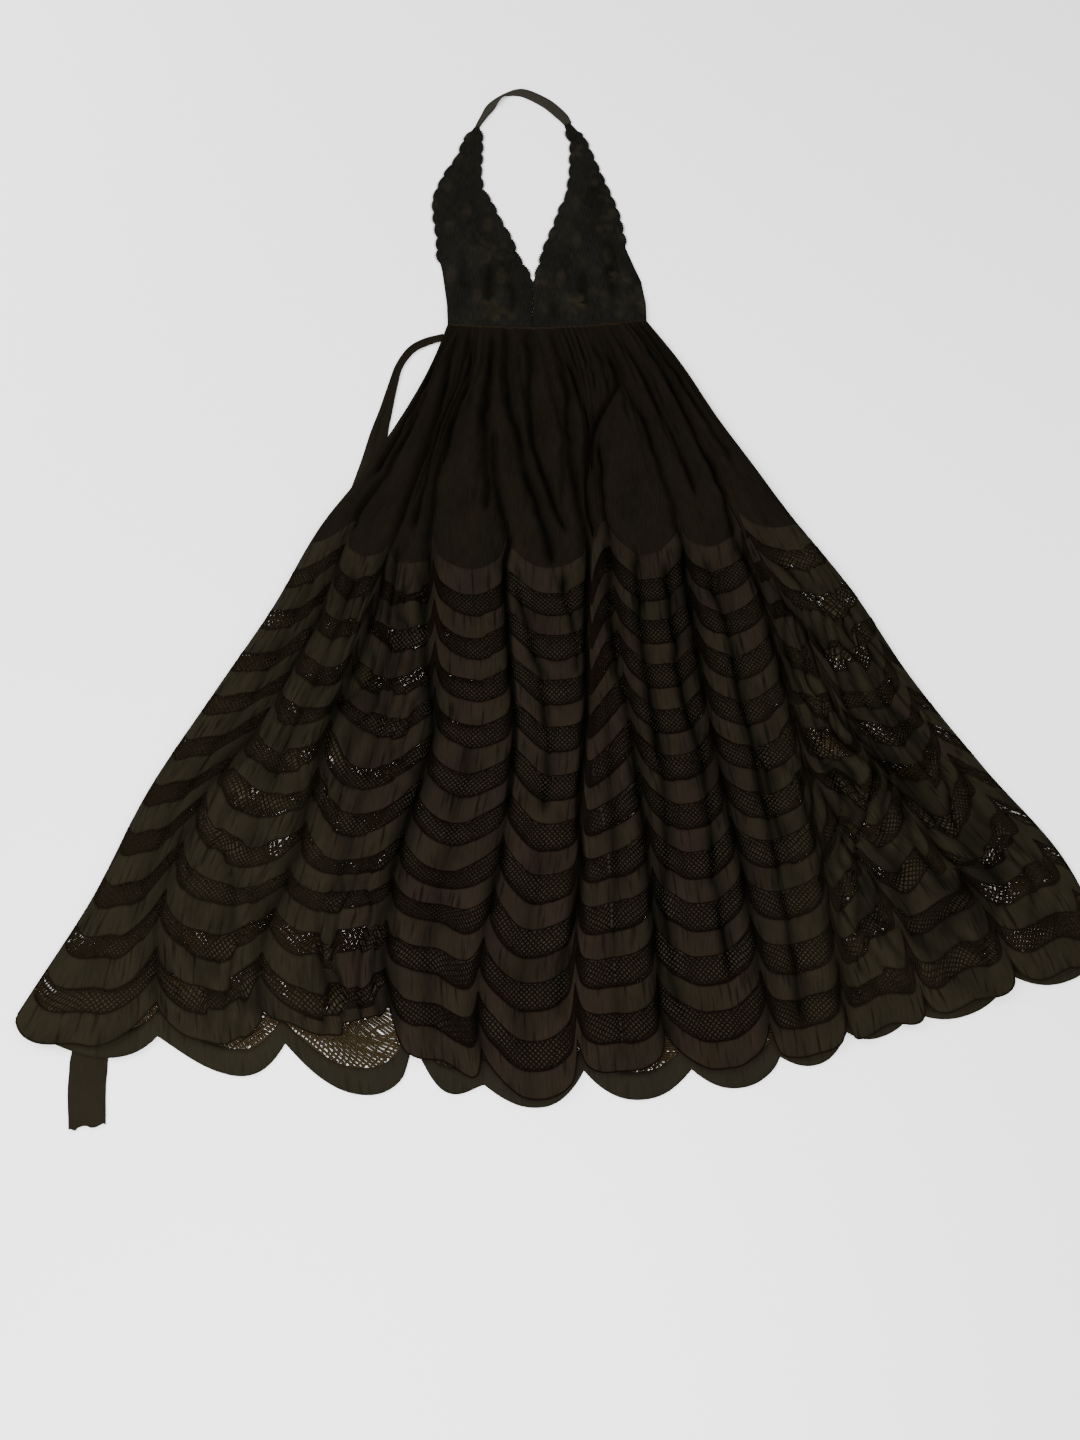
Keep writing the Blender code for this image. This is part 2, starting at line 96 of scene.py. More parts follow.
# Creases of the front panel: depth, reach to each side, and places as fold line and cloth
CREASES = (
    # Upper part
    (0.45, 8, ((1.0, 0), (1.0, 372))),
    (0.6, 8, ((0.5, 0), (0.55, 130), (0.6, 270))),
    (0.7, 10, ((1.48, 10), (1.9, 114), (1.93, 174), (2.0, 250), (2.02, 381))),
    (0.55, 9, ((2.4, 0), (2.5, 120), (2.45, 250), (2.5, 340))),
    (0.85, 13, ((2.6, 20), (2.68, 45), (3.03, 120), (3.08, 207), (3.03, 258), (2.95, 330), (2.93, 363))),
    (0.8, 12, ((3.5, 20), (3.5, 144), (3.55, 189), (3.62, 219), (3.7, 300))),
    (0.95, 12, ((4.0, 0), (3.98, 45), (3.95, 117), (3.98, 147), (4.08, 198), (4.2, 258), (4.35, 291),
                (4.5, 333), (4.55, 380))),
    (0.9, 9, ((4.38, 0), (4.42, 72), (4.33, 108), (4.23, 174), (4.3, 216), (4.48, 264), (4.65, 306),
              (4.75, 333))),
    (1.0, 16, ((3.68, 180), (3.75, 252), (3.88, 297), (4.05, 345), (4.0, 378), (4.0, 525), (4.03, 582),
               (4.0, 700))),
    (0.8, 11, ((4.95, 0), (4.93, 72), (4.88, 120), (4.78, 174), (4.8, 216), (4.9, 267))),
    (1.0, 16, ((4.8, 216), (4.9, 267), (4.98, 330),
               (5.0, 360), (4.95, 468), (5.0, 585), (4.95, 702), (5.03, 765), (4.98, 828))),
    (0.85, 11, ((5.0, 790), (4.98, 828), (4.88, 879), (4.8, 933))),
    (0.4, 6, ((5.6, 0), (5.62, 57), (5.85, 111))),
    (0.75, 9, ((5.05, 60), (5.12, 111), (5.2, 153), (5.38, 198), (5.5, 240))),
    (0.5, 6, ((6.1, 40), (6.18, 102), (6.18, 123))),
    (0.9, 11, ((6.5, 60), (6.45, 108), (6.05, 150), (5.5, 192), (5.18, 228), (5.18, 291), (5.28, 342))),
    (0.7, 9, ((6.73, 20), (6.6, 105), (6.65, 120), (6.8, 162), (6.85, 213), (6.93, 288), (7.0, 366))),
    (0.7, 8, ((8.1, 10), (8.12, 117), (8.05, 200), (8.0, 300), (7.9, 372))),
    (0.6, 8, ((7.23, 40), (7.23, 123), (7.28, 156), (7.4, 192), (7.45, 300))),
    (0.6, 9, ((6.0, 200), (6.0, 351))),
    (0.55, 9, ((8.5, 0), (8.5, 130), (8.6, 260))),
    (0.4, 8, ((8.75, 20), (8.8, 200))),
    # Lace
    (0.6, 12, ((1.0, 372), (1.0, 990))),
    (0.4, 12, ((0.6, 430), (0.65, 650), (0.7, 900))),
    (0.85, 14, ((2.02, 381), (2.08, 474), (2.05, 567), (2.0, 700), (2.0, 970))),
    (0.6, 9, ((2.25, 370), (2.25, 384), (2.33, 477))),
    (0.4, 11, ((1.5, 420), (1.55, 600), (1.6, 900))),
    (0.8, 14, ((2.93, 363), (2.85, 450), (2.88, 504), (3.0, 600), (3.0, 960))),
    (0.4, 11, ((2.5, 430), (2.5, 930))),
    (0.35, 12, ((3.5, 620), (3.45, 960))),
    (0.65, 12, ((4.0, 700), (4.0, 980))),
    (0.75, 9, ((4.15, 400), (4.15, 420), (4.25, 471), (4.38, 531), (4.42, 582), (4.53, 633), (4.5, 700))),
    (0.4, 12, ((4.5, 740), (4.45, 980))),
    (0.7, 8, ((4.7, 400), (4.7, 417), (4.88, 528))),
    (0.85, 12, ((6.0, 351), (5.83, 438), (5.85, 513), (5.95, 600), (5.95, 780), (6.03, 852), (6.0, 980))),
    (0.4, 9, ((5.5, 600), (5.5, 980))),
    (0.85, 10, ((6.35, 375), (6.28, 489), (6.3, 570), (6.28, 678), (6.1, 810), (6.2, 940))),
    (0.85, 10, ((6.7, 396), (6.68, 573), (6.8, 654), (6.68, 795), (6.7, 900))),
    (0.85, 13, ((7.0, 366), (6.95, 444), (7.0, 615), (7.0, 980))),
    (0.7, 10, ((7.33, 400), (7.33, 423), (7.4, 507), (7.43, 591), (7.45, 760), (7.45, 960))),
    (0.75, 13, ((7.9, 372), (8.0, 456), (7.98, 495), (8.0, 620), (8.0, 970))),
    # Bunched right side
    (0.9, 15, ((8.5, 680), (8.55, 735), (8.6, 786), (8.65, 831), (8.72, 890))),
    (0.7, 9, ((7.53, 640), (7.53, 717), (7.58, 770))),
    (0.6, 9, ((8.12, 660), (8.15, 705), (8.2, 750))),
    (0.6, 9, ((8.1, 730), (8.14, 790), (8.18, 850))),
    (0.6, 10, ((8.55, 730), (8.42, 800), (8.25, 880))),
    (0.5, 9, ((7.9, 690), (7.95, 762), (7.98, 830))),
    (0.6, 11, ((8.1, 440), (8.3, 500), (8.62, 600))),
    (0.5, 10, ((8.35, 420), (8.6, 500), (8.8, 590))),
    (0.55, 10, ((8.58, 850), (8.6, 900), (8.55, 970))),
    (0.5, 11, ((8.1, 860), (8.3, 910), (8.45, 985))),
    (0.45, 10, ((8.72, 640), (8.74, 720), (8.8, 800))),
)
CREASE_FADE, CREASE_FLOOR = 30.0, 1.4
# How far a crease wanders aside and how unevenly deep it is
CREASE_WANDER, CREASE_UNEVEN = 2.4, 0.35
# A crease's painted shade: a wide soft strip and a narrow dark core, as shares of its reach
WIDE_SHADE, CORE_SHADE, WIDE_PAINTED_SHADE = 1.0, 0.24, 0.58
# The deep slots reach this far, and are painted black with shade this far from their middle
SLOT_REACH, SLOT_HALF = 16.0, 4.6
FINE_GATHERS, FINE_GATHER_STEP, FINE_SEED = (-112, 155), 9.0, 31
# Ranges of the fine gathers: place aside, start and length on the cloth, lean, depth and reach
FINE_ASIDE, FINE_START, FINE_LENGTH, FINE_LEAN = (-3, 3), (2, 40), (60, 300), (-0.12, 0.12)
FINE_DEPTH, FINE_REACH = (0.12, 0.34), (4, 8)

# The lace: scalloped satin between net bands, on columns 127 mm wide
COLUMN, PITCH = 127.0, 59.2
# How tall the satin bands are along the pattern, and the first band of each panel
SATIN_AT = ((0, 34), (3.3, 34), (3.9, 28.5), (7.9, 28.5), (8.4, 33), (12, 33))
FIRST_SATIN, BACK_FIRST_OVERLAP = 37.0, 46.0
# The gauze: how far it runs under the lace, and how its edge is tucked down there
FRONT_SEAM_OVERLAP, BACK_SEAM_OVERLAP, GAUZE_SEAM_AT = 4.0, 3.0, 390.0
GAUZE_TUCKED, TUCK_REACH, TUCK_FADE = 1.1, 6.0, 3.0
# How much of the lowest satin band is turned under, by column
TURNED_UNDER_AT = ((2.0, 0), (2.2, 17), (2.8, 19), (3.05, 8), (3.2, 0))
SCALLOP_DEPTH, SCALLOP_POWER = 50.0, 2.2
BANDS, FIRST_BOTTOM, HEM_HEIGHT = 11, 430.0, 1000.0
# Where the column edges cross the laid dress: pattern height, then the fold line of each edge
LEFT_SHARE_AT = ((372, 0.5), (700, 0.8), (1000, 1.0))
EDGE_9_AT = ((372, 8.01), (680, 8.02), (800, 8.12), (900, 8.26), (1000, 8.3))
EDGE_10_AT = ((372, 8.08), (480, 8.22), (560, 8.33), (700, 8.42), (800, 8.5), (900, 8.6), (1000, 8.65))
EDGE_11_AT = ((372, 9.6), (480, 9.2), (560, 8.92), (740, 8.85), (850, 8.93), (1000, 9.0))
# How many fold lines the last column spans, and the share of it that is never used
LAST_COLUMN_LINES, LEFT_OFF = 1.5, 0.2
# How wide a fold that hides cloth is, its widest share of a column, and how far above it is measured
HIDDEN_REACH, WIDEST_HIDDEN, LOOK_ABOVE = 5.5, 0.14, 15.0
# Where each column's hidden cloth lies in its folds: place across, share at the top and share at the hem
HIDDEN_AT = (
    ((0.0, 0.5, 0.5), (1.0, 0.5, 0.5)),
    ((0.0, 0.4, 0.4), (0.5, 0.2, 0.2), (1.0, 0.4, 0.4)),
    ((0.0, 0.4, 0.4), (0.3, 0.2, 0.2), (1.0, 0.4, 0.4)),
    ((0.0, 0.5, 0.5), (1.0, 0.5, 0.5)),
    ((0.0, 0.1, 0.2), (0.33, 0.1, 0.1), (1.0, 0.8, 0.7)),
    ((0.0, 0.95, 0.45), (0.5, 0.05, 0.1), (1.0, 0.0, 0.45)),
    ((0.0, 0.3, 0.3), (0.33, 0.2, 0.2), (0.7, 0.2, 0.2), (1.0, 0.3, 0.3)),
    ((0.0, 0.4, 0.4), (0.42, 0.2, 0.2), (1.0, 0.4, 0.4)),
    ((0.0, 1.0, 0.5), (1.0, 0.0, 0.4)),
    ((0.0, 0.5, 0.5), (1.0, 0.5, 0.5)),
    ((0.0, 0.5, 0.4), (0.6, 0.1, 0.2), (1.0, 0.4, 0.4)),
    ((0.0, 0.5, 0.5), (1.0, 0.5, 0.5)),
)
HIDDEN_FROM, HIDDEN_TO = 640.0, 960.0
# How much of the pattern's height is taken up in small horizontal folds, by fold line
TAKEN_TOP = ((0, 0), (3.5, 0), (4.5, 4), (4.92, 3), (5.04, 20), (5.5, 32), (6.5, 15), (7.5, 12), (9, 12))
TAKEN_HEM = (
    (0, -66), (0.5, -24), (1, -6), (1.5, 16), (2, 22), (2.5, 38), (3, 26), (3.5, 38), (4, 6), (4.5, 3),
    (4.92, 2), (5.04, 16), (5.5, 30), (6, 22), (6.5, 24), (7, 12), (7.5, 22), (8, 10), (8.15, 29), (8.3, 0),
    (8.47, 22), (8.65, -2), (8.83, 20), (9, -16),
)
# How much lower the pattern hangs at the far right: by fold line and by pattern height
LOWER_RIGHT_AT = ((8.1, 0), (8.35, 1), (9, 1))
LOWER_BY_HEIGHT = ((430, 0), (480, 8), (580, 25), (700, 22), (760, 10), (900, 8), (1000, 0))
# Where this cloth is taken up in a low tuck rather than evenly, and the heights of both
TUCK_SHARE_AT = ((1.0, 0), (1.4, 0.85), (3.6, 0.85), (4.0, 0))
TUCK_FROM, TUCK_TO = 770.0, 890.0
TAKEN_FROM, TAKEN_TO = 392.0, 1022.0
# Narrow pleats where the lace is bunched: how many lie before each fold line, and how strong they are
PLEATS_AT = ((0, 0), (1, 3), (3, 12), (8, 21), (9, 31))
BUNCHED_AT = ((0, 0.15), (0.7, 0.3), (1.3, 0.75), (1.9, 0.85), (2.9, 0.95), (3.15, 0.2), (7.3, 0.12),
              (7.8, 0.6), (8.1, 1.0), (8.75, 1.0), (8.9, 0.6), (9, 0.4))
PLEATS_FROM, PLEATS_TO, PLEAT_FADE = 385.0, 1015.0, 60.0
# How far a pleat moves the pattern, leans, is pressed at its edge, turns over and changes tone
PLEAT_SHIFT, PLEAT_TILT, PLEAT_PRESS, PLEAT_TURN, PLEAT_TONE = 12.0, 4.0, 0.45, 0.2, 0.9
# Width and painted shade of a pleat's edge, painted shade of a shaded pleat, and how sharply neighbours
# differ
PLEAT_EDGE, PLEAT_EDGE_PAINTED_SHADE, PLEAT_PAINTED_SHADE, SHARP = 0.17, 0.75, 0.5, 2.2
# Net: distance of threads, how far it runs under the satin, step along a thread, steps to a point
# and shortest run of steps; then its heights, and the columns of its two pieces
NET_PITCH, NET_UNDER, NET_STEP, THREAD_STRIDE, SHORTEST_RUN = 5.8, 1, 1.6, 4, 3
NET_HEIGHTS = (FIRST_BOTTOM - SCALLOP_DEPTH, FIRST_BOTTOM + PITCH * (BANDS - 1))
NET_REACHES = ((0.0, 5.5), (5.5, 11.8))
# Radius of each kind of thread, how flat the net's are, and how far the rims lie above the satin
NET_RADIUS, BACK_NET_RADIUS, THREAD_FLAT = 1.02, 1.55, 0.42
RIM_RADIUS, RIM_LIFT, PICOT_RADIUS = 0.75, 0.3, 0.45
SIDE_SEAM_RADIUS, SIDE_SEAM_DROP, SIDE_SEAM_SHORT, SIDE_SEAM_STEP = 1.1, 0.5, 4, 5.0
# The waist seam's ridge: how far it starts above the seam, its width, and how far it stands up
RIDGE_ABOVE, RIDGE_WIDTH, RIDGE_PUCKER = 1.5, 4.0, 0.7
RIDGE_REST, RIDGE_HEIGHT, RIDGE_UNEVEN, RIDGE_ROUNDNESS = 0.3, 1.0, 0.5, 0.7
# How far from the middle the lace is painted paler, as painted light
SIDE_FROM, SIDE_TO = 150.0, 340.0
# How finely the pattern's lie on the fold lines is worked out: heights, and samples to a column
TABLE_START, TABLE_STEP, TABLE_ROWS, SAMPLES, DENSITY_SAMPLES = 330.0, 12.0, 62, 32, 97

# The back panel's lace: its scalloped top, and its hem as fold line, cusp and bottom of each scallop
LACE_TOP_AT = ((0, 372), (2, 392), (3.5, 396), (4.5, 392), (6.5, 380), (7.5, 376), (9, 372))
LACE_TOP_RISE = 26.0
BACK_HEM = (
    (0.0, 1040, 1055), (1.0, 1016, 1034), (2.13, 986, 1031), (3.2, 968, 1018),
    (4.0, 1004, 1027), (5.05, 990, 1021), (6.2, 994, 1019), (7.08, 994, 1011),
    (8.0, 986, 1003), (8.25, 990, 1012), (8.63, 988, 1014), (9.0, 990, 990),
)
# How much lower the back's pattern lies than the front's, and how far its scallops lie to the right
BACK_LOWER_AT = ((430, 29), (900, 32))
BACK_ASIDE_AT = ((0, 0), (1, 0), (2, 0.13), (3, 0.2), (4, 0), (5, 0.05), (6, 0.2), (7, 0.08), (8, 0),
                 (8.3, -0.05), (8.65, -0.02), (9, 0))
BACK_SATIN_AT = ((0, 31), (3.3, 31), (3.8, 48), (8.0, 48), (8.5, 34), (12, 34))
BACK_HEM_SATIN = 28.0
# How far the back's pattern is waved, so that light of the ground glints through both nets
GLINT_FADE = 20
GLINTS_AT = ((0, 3), (0.9, 5), (1.3, 22), (2.9, 22), (3.3, 2), (7.7, 2), (8.0, 20), (8.8, 20), (9, 17))
# Where the nets of both panels lie together along the left side, so that the ground shows through
BARE_SIDE_AT = ((430, 0), (450, 1), (535, 1), (560, 0), (815, 0), (835, 1), (905, 1), (920, 0))
BARE_SIDE_SHIFT, BARE_SIDE_REACH = 29.0, 0.55
# From how far above the front's hem the back is bare
BARE_FROM, BARE_FADE = 18, 8

# The tie, lying on the ground: middle of the ribbon, width and thickness
TIE = (
    (-123, -12, 11, 3.0), (-148, -21, 13, 3.0), (-168, -35, 12, 3.0), (-183, -62, 11, 3.0),
    (-190, -93, 13, 2.5), (-198, -138, 18, 2.0), (-205, -175, 24, 1.5), (-212, -231, 34, 1.5),
    (-228, -300, 40, 1.5), (-271, -423, 40, 1.5), (-320, -559, 40, 1.5), (-409, -802, 40, 1.5),
    (-462, -945, 40, 1.5), (-467, -990, 40, 1.5), (-460, -1040, 38, 1.5),
)
# How far it lifts the cloth above, from where, and how wide that rise is in the back and the front
TIE_LIFT, TIE_UNDER_FROM = 1.9, -120.0
TIE_BACK_FLAT, TIE_BACK_RAMP = 64.0, 90.0
TIE_FRONT_FLAT, TIE_FRONT_RAMP = 98.0, 130.0
# Painted shade of its fold, its place and width as shares of the ribbon, and how far its end is frayed
TIE_FOLD_PAINTED_SHADE, FOLD_PLACE, FOLD_WIDTH, TIE_FRAYED = 0.6, 0.12, 0.1, 3.0

# The cups: height above the waist seam, outer edge and inner edge
LEFT_CUP_EDGES = (
    (0, -119, 0), (38, -121, 0), (86, -127, 0), (106, -130, -9), (136, -137, -24),
    (166, -138, -32), (202, -144, -49), (241, -147, -64), (263, -142, -76), (295, -131, -80),
    (330, -113, -79), (365, -104, -79), (392, -89, -82),
)
RIGHT_CUP_EDGES = (
    (0, 159, 0), (38, 159, 0), (86, 154, 0), (109, 146, 8), (147, 134, 16),
    (198, 127, 33), (222, 122, 39), (249, 114, 50), (295, 99, 56), (340, 85, 57),
    (356, 80, 58), (372, 74, 52), (397, 57, 46),
)
# Height of the bottom of the V, and how the cups swell
V_HEIGHT = 86.0
CUP_CROWN_AT = ((0, 1.5), (60, 6), (120, 8), (200, 5), (280, 2), (340, 0.5), (400, 0))
CUP_ROUNDNESS = 0.8
CUP_SCALLOP, CUP_SCALLOP_DEPTH = 24.0, 3.0
PICOT_STEP, PICOT_LOOP, PICOT_WAVE = 4.0, 2.6, 0.9
# Soft vertical folds of the cups: middle across, start and end height, half width and depth
CUP_FOLDS = ((-62, 20, 120, 7, 2.0), (-28, 5, 90, 6, 1.6), (-84, 150, 178, 5, 1.2), (70, 20, 110, 8, 1.8),
             (112, 40, 170, 8, 1.6), (30, 0, 60, 6, 1.2), (-100, 60, 150, 7, 1.2))
# How deep a cup fold is when painted fully dark with shade, how its ends fade, and its deepest share of the
# swell
CUP_FOLD_FULL_SHADE, CUP_FOLD_FADE, DEEPEST_FOLD = 2.2, 25.0, 0.8
# Each cup's edges, and the heights between which the outer and the inner edge are scalloped
LEFT_CUP = (LEFT_CUP_EDGES, (121, 380), (95, 383))
RIGHT_CUP = (RIGHT_CUP_EDGES, (154, 380), (95, 383))
SEAM_GAP, CUP_REST = 0.4, 1.0
CUP_LIFT_FLAT, CUP_LIFT_RAMP = 36.0, 60.0
BAND_LEFT, BAND_RIGHT, BAND_HEIGHT = -116.0, 156.0, 24.0

# The neck strap: middle of the ribbon, width, and how far it is turned on its edge in degrees
STRAP = (
    (-85.5, 392, 7, 0), (-77, 411, 10, 5), (-67, 431, 14, 0), (-57, 446, 11, 20), (-48, 456, 7, 25),
    (-38, 461.5, 8, 0), (-26, 463, 11, -14), (-9, 459.5, 15, -8), (20, 440.5, 18, 0), (43, 414, 17, 0),
    (53, 397, 12, 0),
)
STRAP_REST = 1.1

# Shader sockets, plain colours and the space between nodes in the editor
VALUE, COLOUR, VECTOR = "NodeSocketFloat", "NodeSocketColor", "NodeSocketVector"
# The second colour is the near black toward which painted shade darkens creases, and the back where it lies
# bare
GREY, PAINTED_DARK_COLOUR = (0.5, 0.5, 0.5, 1), (0.0008, 0.0010, 0.0006, 1)
# The petals' paler colour, partly painted highlight on the raised embroidery
PETAL_COLOUR_AND_HIGHLIGHT = (0.0130, 0.0106, 0.0066, 1)
NODE_SPACE = 180

# Studio: the floor in metres, the light of the sky, and the camera
FLOOR_HALF, FLOOR_AT, SKY = 6.0, -0.0004, 1.5
LENS, SENSOR, CAMERA_AT, CAMERA_TILT = 36.07, 36, (-0.0298, -0.77685, 1.2), 0.40


# Reading tables


def entries(table, place):
    """One entry of each row of a table."""
    return np.array([row[place] for row in table], float)


def along(table, value):
    """Reads a two-column table, with straight runs between its rows."""
    return np.interp(value, entries(table, 0), entries(table, 1))


def clipped(value):
    """Keeps a share between 0 and 1."""
    return np.clip(value, 0, 1)


def eased(value):
    """A share that starts and ends gently."""
    share = clipped(value)
    return share * share * (3 - 2 * share)


def row_before(marks, value):
    """The row of a rising column that lies before each value."""
    return np.clip(np.searchsorted(marks, value, side="right") - 1, 0, len(marks) - 2)


def eased_along(table, value):
    """Reads a two-column table with a gentle curve that is level at each row."""
    marks, levels = entries(table, 0), entries(table, 1)
    i = row_before(marks, value)
    share = eased((value - marks[i]) / (marks[i + 1] - marks[i]))
    return levels[i] + (levels[i + 1] - levels[i]) * share


def smooth_along(stations, values, at):
    """Reads a smooth curve through the values given at the stations."""
    stations, values = np.asarray(stations, float), np.asarray(values, float)
    slope = np.gradient(values, stations)
    i = row_before(stations, at)
    span = stations[i + 1] - stations[i]
    t = (at - stations[i]) / span
    start = (2 * t**3 - 3 * t**2 + 1) * values[i] + (t**3 - 2 * t**2 + t) * span * slope[i]
    end = (3 * t**2 - 2 * t**3) * values[i + 1] + (t**3 - t**2) * span * slope[i + 1]
    return start + end


def smooth_columns(table, count):
    """Reads each column of a table as a smooth curve at evenly spaced places."""
    at = np.linspace(0, len(table) - 1, count)
    return [smooth_along(range(len(table)), entries(table, c), at) for c in range(len(table[0]))]


def blend(grid, i, j, s, t):
    """Reads a grid a share s past row i and a share t past column j."""
    near = grid[i, j] * (1 - t) + grid[i, j + 1] * t
    far = grid[i + 1, j] * (1 - t) + grid[i + 1, j + 1] * t
    return near * (1 - s) + far * s


def ripple(u, v, seed):
    """Smooth random waves between about -1 and 1; u and v are places, counted in wave lengths."""
    grid = np.random.default_rng(seed).uniform(-1, 1, (WAVES, WAVES))
    grid = np.pad(grid, (0, 1), "wrap").T
    u, v = np.asarray(u, float), np.asarray(v, float)
    i, j = np.floor(u).astype(int), np.floor(v).astype(int)
    return blend(grid, j % WAVES, i % WAVES, eased(v - j), eased(u - i))


# How the skirt lies


def seam_height(x):
    """How far the waist seam lies above its own middle."""
    return np.interp(x, LINE_STARTS, START_RISES)


def lay_fold_lines():
    """Walks every main fold line down the cloth and returns its points in plan."""
    cloth = np.arange(0, CLOTH_END + CLOTH_STEP, CLOTH_STEP)
    end = STATIONS[-1]
    across, up = [], []
    for places in FOLD_LINES:
        x = smooth_along(STATIONS, places, np.minimum(cloth, end))
        last_slope = (places[-1] - places[-2]) / (end - STATIONS[-2])
        x = x + np.maximum(cloth - end, 0) * last_slope
        fall = np.sqrt(np.clip(1 - np.gradient(x, cloth) ** 2, LEAST_FALL, 1))
        drop = np.concatenate([[0], np.cumsum((fall[1:] + fall[:-1]) / 2 * CLOTH_STEP)])
        across.append(x)
        up.append(seam_height(x[0]) - drop)
    return np.array(across), np.array(up)


LINE_X, LINE_Y = lay_fold_lines()


def on_cloth(line, cloth):
    """Places in plan of points of the skirt, from their fold line and cloth length."""
    line, cloth = np.broadcast_arrays(np.asarray(line, float), np.asarray(cloth, float))
    left = np.clip(np.floor(line).astype(int), 0, LAST_LINE - 1)
    place = np.clip(cloth / CLOTH_STEP, 0, LINE_X.shape[1] - PAST_END)
    step = place.astype(int)
    return tuple(blend(grid, left, step, line - left, place - step) for grid in (LINE_X, LINE_Y))


def tie_distance(x, y):
    """Distance in plan to the middle of the tie, for the stretch near the skirt."""
    best = np.full(np.shape(x), np.inf)
    rows = [row for row in TIE if row[1] <= TIE_UNDER_FROM]
    for (ax, ay, _, _), (bx, by, _, _) in zip(rows, rows[1:]):
        t = clipped(((x - ax) * (bx - ax) + (y - ay) * (by - ay)) / ((bx - ax) ** 2 + (by - ay) ** 2))
        best = np.minimum(best, np.hypot(x - ax - t * (bx - ax), y - ay - t * (by - ay)))
    return best


def lift_over_tie(x, y, flat, ramp):
    """How far the cloth is lifted where the tie runs under it."""
    return TIE_LIFT * clipped((ramp - tie_distance(x, y)) / (ramp - flat))


def rolled(share):
    """The side of a soft roll of cloth: 0 in the crease, 1 on top of the roll."""
    return np.sqrt(1 - (1 - clipped(share)) ** 2)


def soft_roll(gap, reach):
    """The side of a roll of cloth at a distance from its crease, with a rounded bottom."""
    lowest = rolled(CREASE_FLOOR / reach)
    return clipped((rolled(np.hypot(gap, CREASE_FLOOR) / reach) - lowest) / (1 - lowest))


def fine_gathers():
    """Short fine creases below the waist seam, uneven in place, length and depth."""
    rng = np.random.default_rng(FINE_SEED)
    made = []
    for x in np.arange(*FINE_GATHERS, FINE_GATHER_STEP):
        line = float(np.interp(x + rng.uniform(*FINE_ASIDE), LINE_STARTS, LINES))
        start, length = rng.uniform(*FINE_START), rng.uniform(*FINE_LENGTH)
        lean = rng.uniform(*FINE_LEAN)
        points = ((line, start), (line + lean / 2, start + length / 2), (line + lean, start + length))
        made.append((rng.uniform(*FINE_DEPTH), rng.uniform(*FINE_REACH), points))
    return tuple(made)


ALL_CREASES = CREASES + fine_gathers()


def pleats(line, cloth):
    """The narrow pleats of bunched lace.

    much: how strong they are; shift: how far each moves the pattern; tilt, edge, shade and tone: how
    each leans, where its edge is, how dark its painted shade is and how pale it is beside the next.
    """
    place = along(PLEATS_AT, line) + 1.4 * ripple(line * 1.7, cloth / 90, seed=41)
    place = place + 0.5 * ripple(line * 5, cloth / 42, seed=42)
    pleat = np.floor(place)
    share = place - pleat
    much = along(BUNCHED_AT, line)
    much = much * eased((cloth - PLEATS_FROM) / PLEAT_FADE) * eased((PLEATS_TO - cloth) / PLEAT_FADE)
    much = much * clipped(0.7 + 0.7 * ripple(line * 2.3, cloth / 110, seed=45))
    turn = eased((share - 1 + PLEAT_TURN) / PLEAT_TURN)
    own, following = (np.tanh(SHARP * ripple((pleat + n) * 7.31, cloth / 42, seed=43)) for n in (0, 1))
    gap = np.minimum(np.abs(share - 1 + PLEAT_TURN / 2), share + PLEAT_TURN / 2)
    return SimpleNamespace(
        much=much,
        shift=own * (1 - turn) + following * turn,
        tilt=(share - 0.5) * ripple(pleat * 3.77, cloth / 90, seed=46),
        edge=np.exp(-((gap / PLEAT_EDGE) ** 2)),
        shade=clipped(1.9 * ripple(pleat * 5.13, cloth / 38, seed=47) - 0.1),
        tone=ripple(pleat * 9.17, cloth / 33, seed=53))


def fold_depth(cloth, x, hump=None):
    """How far the creases press the puffed cloth down from 0 to 1; with a hump, their painted shade."""
    left = np.ones(np.shape(x))
    for number, (depth, reach, points) in enumerate(ALL_CREASES):
        start, stop = points[0][1], points[-1][1]
        fade = eased((cloth - start) / CREASE_FADE + 0.5) * eased((stop - cloth) / CREASE_FADE + 0.5)
        near = fade > 0
        if not near.any():
            continue
        line = np.interp(cloth[near], entries(points, 1), entries(points, 0))
        middle = on_cloth(line, cloth[near])[0]
        if reach < SLOT_REACH:
            middle = middle + CREASE_WANDER * ripple(cloth[near] / 22, 3.7 * number, seed=48)
            depth = depth * (1 + CREASE_UNEVEN * ripple(cloth[near] / 45, 5.3 * number, seed=49))
        gap = np.abs(x[near] - middle)
        press = hump(gap, reach) if hump else 1 - soft_roll(gap, reach)
        left[near] *= 1 - clipped(depth) * fade[near] * press
    return 1 - left


def crease_painted_shade(gap, reach):
    """How dark a crease's painted shade is at a distance from its middle."""
    if reach >= SLOT_REACH:
        return np.exp(-((gap / SLOT_HALF) ** 4))
    wide = np.exp(-((gap / (WIDE_SHADE * reach)) ** 4))
    core = np.exp(-((gap / (CORE_SHADE * reach)) ** 2))
    return WIDE_PAINTED_SHADE * wide + (1 - WIDE_PAINTED_SHADE) * core


def gather_depth(line, cloth):
    """How deep the gathers below the waist are, unevenly from place to place."""
    return along(GATHER_AT, cloth) * clipped(0.6 + 0.8 * ripple(line * 2.1, cloth / 150, seed=52))


def gathers(line):
    """Which turn of the gathers a fold line is on."""
    place = (np.interp(line, LINES, LINE_STARTS) - LINE_STARTS[0]) / (LINE_STARTS[-1] - LINE_STARTS[0])
    return 2 * np.pi * (GATHERS * place + GATHER_WANDER * np.sin(WANDER_RATE * line))


